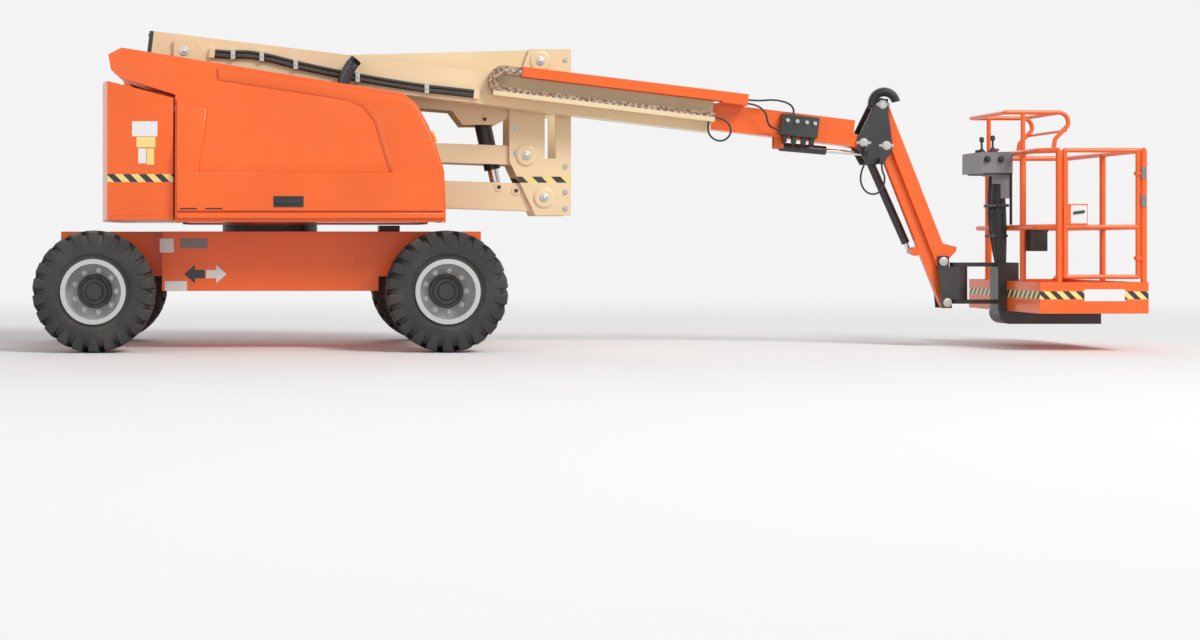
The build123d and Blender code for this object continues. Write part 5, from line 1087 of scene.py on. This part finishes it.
class LIFT_OT_jib(bpy.types.Operator):
    """Adds pin ends to the jib and rotator, lugs at the jib's foot and the ribbed sleeve over its head"""
    bl_idname = "lift.jib"
    bl_label = "Jib"

    # Outer faces of the jib knuckle's and the rotator's plates
    KNUCKLE_NEAR, KNUCKLE_FAR = -0.377, -0.183
    ROTATOR_PLATES = ((-0.361, -1), (-0.199, 1))
    # Outline of a lug from the rotator's upper pin, and the lugs' near faces
    LUG = [(-0.02, 0.105), (-0.005, 0.134), (0.046, 0.12), (0.103, 0.105), (0.1, 0.077), (0.046, 0.019),
           (0.002, -0.003)]
    LUGS_Y, LUG_SHEET = (-0.341, -0.231), 0.012
    # The sleeve is an arc round the upper pin, from the rear over the top to the front
    SLEEVE_Y, SLEEVE_ARC, SLEEVE_START, SLEEVE_SWEEP = -0.413, 0.088, 200, 190

    def execute(self, context):
        form = bmesh.new()
        for pin in JIB_PINS:
            add_pin_cap(form, side_place(pin, self.KNUCKLE_NEAR), (0, -1, 0), 0.024, 0.012)
            add_lathe(form, [(0.03, -SUNK), (0.03, 0.003), (0.024, 0.004)], side_place(pin, self.KNUCKLE_FAR),
                      (0, 1, 0), 28)
        add_piece("jib_pin_ends", form, "jib_knuckle", "Bright steel")
        form = bmesh.new()
        for pin in ROTATOR_PINS:
            for y, out in self.ROTATOR_PLATES:
                add_lathe(form, [(0.032, -SUNK), (0.032, 0.006), (0.024, 0.008)], side_place(pin, y),
                          (0, out, 0), 28)
        add_piece("rotator_pin_ends", form, "rotator", "Bright steel")
        self.add_sleeve()
        self.add_foot_lugs()
        return {"FINISHED"}

    def add_foot_lugs(self):
        """Two lugs that stand forwards from the upper arm's foot."""
        form = bmesh.new()
        x, z = ROTATOR_PINS[0]
        for y in self.LUGS_Y:
            corners = [(x + ahead, y, z + up) for ahead, up in self.LUG]
            add_sheet(form, corners, (0, self.LUG_SHEET, 0))
        add_piece("jib_foot_lugs", form, "jib_upper_arm", "Orange paint", smooth=False,
                  bevel=0.001)

    def add_sleeve(self):
        """Corrugated cable sleeve over the upper jib pin."""
        form = bmesh.new()
        x, z = JIB_PINS[1]
        radius, steps = sizes().sleeve, 2 * sizes().ribs
        points = []
        for step in range(steps + 1):
            a = radians(self.SLEEVE_START - self.SLEEVE_SWEEP * step / steps)
            points.append((x + self.SLEEVE_ARC * cos(a), self.SLEEVE_Y, z + self.SLEEVE_ARC * sin(a)))
        add_tube(form, points, radius * 0.8, 20)
        for one, two in zip(points[1::2], points[2::2]):
            middle = (Vector(one) + Vector(two)) / 2
            half = (Vector(two) - Vector(one)) * 0.3
            add_tube(form, [middle - half, middle + half], radius, 20)
        add_piece("jib_sleeve", form, "jib_knuckle", "Hose rubber")


class LIFT_OT_platform(bpy.types.Operator):
    """Adds the console's controls and loom, the guard's legs, and the gate's and toe boards' fittings"""
    bl_idname = "lift.platform"
    bl_label = "Platform"

    SWITCHES, SWITCH_PITCH = 7, 0.02
    ARMS_FOOT = 0.89
    # Latch plate and blank sign on the gate, from its rear edge: X low, X high, Z low and Z high
    LATCH_PLATE, LATCH_SIGN = (0.002, 0.17, 0.882, 1.03), (0.05, 0.164, 0.894, 1.02)
    LATCH_HANDLE, LATCH_TILT = (0.107, 0.972), radians(-8)
    # Hinge plates on the gate's post, and the blank plate on the near toe board
    GATE_HINGES = [((3.826, -1.046, z - 0.043), (3.858, -1.041, z + 0.043)) for z in (1.05, 1.247)]
    TOE_PLATE = [(3.426, 3.71, 0.352, 0.436)]
    # Gussets at the far posts: X and the way they point
    GUSSETS, GUSSET_LENGTH, GUSSET_HEIGHT = ((3.277, 1), (3.831, -1)), 0.08, 0.09
    RAIL_RADIUS, CROSS_RADIUS, LEG_BEND = 0.016, 0.011, 0.07
    # Heights of the guard's legs at their knee and foot, and of the tube across them
    KNEE_Z, FOOT_Z, CROSS_Z = 1.50, 1.404, 1.56
    # Hoses of the loom: place across at the console, bulge and radius
    LOOM = ((-0.40, 0.05, 0.022), (-0.35, 0.02, 0.026), (-0.29, 0.045, 0.03), (-0.23, 0.015, 0.024),
            (-0.18, 0.05, 0.022))
    LOOM_X, LOOM_LEAN, LOOM_GATHER = 3.07, 0.03, 0.45
    LOOM_BRACKET = [((2.99, -0.44, 1.185), (3.11, -0.42, 1.25)), ((3.05, -0.44, 1.08), (3.11, -0.42, 1.19)),
                    ((2.99, -0.44, 1.245), (3.11, -0.2, 1.262))]
    LOOM_BANDS = [((3.02, BOOM_Y - half, z), (3.115, BOOM_Y + half, z + 0.02))
                  for z, half in ((1.02, 0.14), (0.8, 0.115))]
    # Document box inside the platform, with its lid
    DOCUMENT_BOX = [((3.165, -0.78, 0.70), (3.265, -0.56, 0.86)),
                    ((3.16, -0.785, 0.835), (3.27, -0.555, 0.862))]

    def execute(self, context):
        self.add_controls()
        self.add_gate_parts()
        self.add_toe_parts()
        add_plates("document_box", self.DOCUMENT_BOX, "platform", "Black plastic", bevel=0.006)
        self.add_guard_legs()
        self.add_loom()
        return {"FINISHED"}

    def add_controls(self):
        """Joysticks, switches and a stop knob on the console's top, knobs on its side and arms below it."""
        low, high = (Vector(corner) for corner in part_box("control_console"))
        x, top = (low.x + high.x) / 2, high.z
        panel = bmesh.new()
        add_box(panel, (low.x + 0.012, low.y + 0.012, top), (high.x - 0.012, high.y - 0.012, top + 0.003))
        for y in (low.y + 0.09, high.y - 0.09):
            add_lathe(panel, [(0.034, 0.002), (0.030, 0.014), (0.018, 0.03), (0.008, 0.04), (0.007, 0.085),
                              (0.016, 0.09), (0.017, 0.115), (0.011, 0.125)], (x, y, top), (0, 0, 1), 24)
        for index in range(self.SWITCHES):
            y = low.y + 0.15 + index * self.SWITCH_PITCH
            add_lathe(panel, [(0.006, 0.002), (0.006, 0.008), (0.003, 0.01), (0.0035, 0.026)],
                      (low.x + 0.05, y, top), (0, 0, 1), 12)
        for knob_x in (low.x + 0.045, low.x + 0.145):
            add_lathe(panel, [(0.024, -SUNK), (0.024, 0.006), (0.017, 0.01), (0.016, 0.03), (0.012, 0.034)],
                      (knob_x, low.y, top - 0.05), (0, -1, 0), 24)
        add_piece("console_controls", panel, "platform", "Black plastic", bevel=0.0008)
        knob = bmesh.new()
        add_lathe(knob, [(0.012, 0.002), (0.012, 0.018), (0.024, 0.02), (0.024, 0.03), (0.017, 0.036)],
                  (high.x - 0.05, (low.y + high.y) / 2, top), (0, 0, 1), 28)
        add_piece("console_stop", knob, "platform", "Red knob")
        arms = []
        for y in (low.y + 0.05, high.y - 0.05):
            arms.append(((low.x + 0.03, y - 0.02, low.z - 0.008), (high.x + 0.01, y + 0.02, low.z)))
            arms.append(((high.x, y - 0.02, self.ARMS_FOOT), (high.x + 0.008, y + 0.02, low.z)))
        add_plates("console_arms", arms, "platform", "Black paint", bevel=0.001)

    def add_gate_parts(self):
        """Latch plate with a blank sign and a black handle on the gate, and hinge plates on its post."""
        low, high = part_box("platform_gate")
        rear, y = low[0], low[1] + self.RAIL_RADIUS
        x0, x1, z0, z1 = self.LATCH_PLATE
        add_plates("gate_plate", [((rear + x0, y - 0.02, z0), (rear + x1, y - 0.015, z1))],
                   "gate", "Orange tube", bevel=0.002)
        x0, x1, z0, z1 = self.LATCH_SIGN
        add_plates("gate_blank", side_plates([(rear + x0, rear + x1, z0, z1)], y - 0.02, -1),
                   "gate", "White label")
        handle = bmesh.new()
        x, z = self.LATCH_HANDLE
        turn = Matrix.Translation((rear + x, y - 0.026, z)) @ Matrix.Rotation(self.LATCH_TILT, 4, "Y")
        add_box(handle, (-0.04, -0.006, -0.009), (0.04, 0.006, 0.009), turn)
        add_piece("gate_handle", handle, "gate", "Black plastic", bevel=0.004)
        add_plates("gate_hinge_plates", self.GATE_HINGES, "platform", "Console grey",
                   bevel=0.001)

    def add_toe_parts(self):
        """Gussets at the far posts' feet and a blank plate on the near toe board."""
        low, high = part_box("platform_floor")
        add_plates("toe_plate", side_plates(self.TOE_PLATE, low[1], -1), "platform", "White label")
        form = bmesh.new()
        y, z = high[1] - 0.022, high[2]
        for x, way in self.GUSSETS:
            corners = [(x, y, z), (x + way * self.GUSSET_LENGTH, y, z), (x, y, z + self.GUSSET_HEIGHT)]
            add_sheet(form, corners, (0, 0.006, 0))
        add_piece("toe_gussets", form, "platform", "Orange tube", bevel=0.001)

    def add_guard_legs(self):
        """Curved tubes from the front of the console guard down to the top rail."""
        form = bmesh.new()
        low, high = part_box("console_guard")
        front, sides = high[0], (low[1] + self.RAIL_RADIUS, high[1] - self.RAIL_RADIUS)
        top = high[2] - self.RAIL_RADIUS
        for y in sides:
            points = []
            for step in range(9):
                a = radians(90 - 14 * step)
                points.append((front - self.RAIL_RADIUS + self.LEG_BEND * cos(a), y,
                               top - self.LEG_BEND + self.LEG_BEND * sin(a)))
            points += [(front - 0.04, y, self.KNEE_Z), (front - 0.055, y, self.FOOT_Z)]
            add_tube(form, points, self.RAIL_RADIUS, 16)
        add_tube(form, [(front + 0.035, y, self.CROSS_Z) for y in sides], self.CROSS_RADIUS, 14)
        add_piece("guard_legs", form, "platform", "Orange tube")

    def add_loom(self):
        """Black loom of hoses from the console down to the support, with its bands and a grey bracket."""
        start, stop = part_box("control_console")[0][2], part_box("platform_support")[1][2] - 0.02
        form = bmesh.new()
        for index, (y, bulge, radius) in enumerate(self.LOOM):
            points = []
            for step in range(13):
                share = step / 12
                sway = bulge * sin(pi * share) * (1 if index % 2 else -1)
                points.append((self.LOOM_X + self.LOOM_LEAN * share + sway * 0.6,
                               y + (BOOM_Y - y) * self.LOOM_GATHER * share, start + (stop - start) * share))
            add_tube(form, points, radius, 16)
        add_piece("platform_loom", form, "platform", "Hose rubber")
        add_plates("loom_bracket", self.LOOM_BRACKET, "platform", "Console grey", bevel=0.003)
        add_plates("loom_bands", self.LOOM_BANDS, "platform", "Black plastic", bevel=0.004)


class LIFT_OT_stage(bpy.types.Operator):
    """Adds the floor, the soft lamps and the camera at the photograph's place"""
    bl_idname = "lift.stage"
    bl_label = "Stage"

    # The floor's radius, and where it begins and ends to fade
    FLOOR_RADIUS, FADE = 40, (6.0, 14.0)
    # Place and size of each lamp, and the point they all face
    LAMPS = {"key": ((12.0, -18.0, 18.0), 9.0), "fill": ((-14.0, -16.0, 9.0), 12.0),
             "rear": ((0.0, 16.0, 12.0), 10.0)}
    AIM = Vector((0, 0, 0.8))
    # The camera's sensor, and how far its frame is moved sideways and down
    SENSOR, SHIFT = 36, (0.284, -0.063)

    def execute(self, context):
        settings = context.scene.lift_stage
        self.add_floor(settings)
        self.add_lamps(context, settings)
        self.add_world(context, settings)
        self.add_camera(context, settings)
        context.scene.view_settings.view_transform = "Standard"
        return {"FINISHED"}

    def add_floor(self, settings):
        """Pale disc that fades out far from the machine."""
        mesh = bpy.data.meshes.new("studio_floor")
        form = bmesh.new()
        bmesh.ops.create_circle(form, cap_ends=True, segments=96, radius=self.FLOOR_RADIUS)
        form.to_mesh(mesh)
        form.free()
        floor = bpy.data.objects.new("studio_floor", mesh)
        bpy.context.collection.objects.link(floor)
        made, tree, shader = blank_material("Studio floor")
        shader.inputs["Base Color"].default_value = settings.floor
        shader.inputs["Roughness"].default_value = 0.9
        shader.inputs["Specular IOR Level"].default_value = 0.1
        reach = tree.nodes.new("ShaderNodeVectorMath")
        reach.operation = "LENGTH"
        tree.links.new(object_point(tree), reach.inputs[0])
        clear = tree.nodes.new("ShaderNodeBsdfTransparent")
        blend = tree.nodes.new("ShaderNodeMixShader")
        tree.links.new(ramp(tree, reach.outputs["Value"], *self.FADE), blend.inputs[0])
        tree.links.new(shader.outputs[0], blend.inputs[1])
        tree.links.new(clear.outputs[0], blend.inputs[2])
        tree.links.new(blend.outputs[0], tree.nodes["Material Output"].inputs["Surface"])
        mesh.materials.append(made)

    def add_lamps(self, context, settings):
        """Large soft key from the camera's right, and fills from its left and from behind."""
        for name, (place, size) in self.LAMPS.items():
            data = bpy.data.lights.new(f"studio_{name}", "AREA")
            data.size = size
            data.energy = settings.key if name == "key" else settings.fill
            lamp = bpy.data.objects.new(data.name, data)
            lamp.location = place
            lamp.rotation_euler = (self.AIM - Vector(place)).to_track_quat("-Z", "Y").to_euler()
            context.collection.objects.link(lamp)

    def add_world(self, context, settings):
        """Pale world that looks brighter to the camera, and in reflections, than the light it gives."""
        world = bpy.data.worlds.new("studio")
        context.scene.world = world
        world.use_nodes = True
        tree = world.node_tree
        rays = tree.nodes.new("ShaderNodeLightPath")
        seen = math_node(tree, "MAXIMUM", rays.outputs["Is Camera Ray"], rays.outputs["Is Glossy Ray"])
        seen = math_node(tree, "MAXIMUM", seen, rays.outputs["Is Transmission Ray"])
        strength = math_node(tree, "MULTIPLY_ADD", seen, 1 - settings.sky)
        strength.node.inputs[2].default_value = settings.sky
        backdrop = tree.nodes["Background"]
        backdrop.inputs["Color"].default_value = settings.floor
        tree.links.new(strength, backdrop.inputs["Strength"])

    def add_camera(self, context, settings):
        """Camera at the photograph's centre of projection, with the frame moved sideways to match it."""
        data = bpy.data.cameras.new("photo_camera")
        data.sensor_width = self.SENSOR
        data.lens = settings.lens
        data.shift_x = self.SHIFT[0] - tan(settings.yaw) * settings.lens / self.SENSOR
        data.shift_y = self.SHIFT[1]
        camera = bpy.data.objects.new("photo_camera", data)
        camera.location = settings.camera
        camera.rotation_euler = (pi / 2, 0, -settings.yaw)
        context.collection.objects.link(camera)
        context.scene.camera = camera


# The steps, in the order in which they run
OPERATORS = [LIFT_OT_stage, LIFT_OT_hoses, LIFT_OT_finishes, LIFT_OT_wheels, LIFT_OT_hoods, LIFT_OT_chassis,
             LIFT_OT_tower, LIFT_OT_boom, LIFT_OT_jib, LIFT_OT_platform]


class LIFT_PT_panel(bpy.types.Panel):
    """Lists the steps that dress the lift"""
    bl_idname = "LIFT_PT_panel"
    bl_label = "Boom lift"
    bl_space_type = "VIEW_3D"
    bl_region_type = "UI"
    bl_category = "Boom lift"

    def draw(self, context):
        for step in OPERATORS:
            self.layout.operator(step.bl_idname)


CLASSES = [LiftColours, LiftSizes, StageSettings, *OPERATORS, LIFT_PT_panel]


def register():
    """Adds the classes to Blender and the settings to its scenes."""
    for made in CLASSES:
        bpy.utils.register_class(made)
    bpy.types.Scene.lift_colours = PointerProperty(type=LiftColours)
    bpy.types.Scene.lift_sizes = PointerProperty(type=LiftSizes)
    bpy.types.Scene.lift_stage = PointerProperty(type=StageSettings)


def unregister():
    """Takes the settings and the classes away again."""
    del bpy.types.Scene.lift_stage
    del bpy.types.Scene.lift_sizes
    del bpy.types.Scene.lift_colours
    for made in reversed(CLASSES):
        bpy.utils.unregister_class(made)


def main():
    """Registers the classes and dresses the frame with every step."""
    register()
    for step in OPERATORS:
        group, name = step.bl_idname.split(".")
        getattr(getattr(bpy.ops, group), name)()


if __name__ == "__main__":
    main()
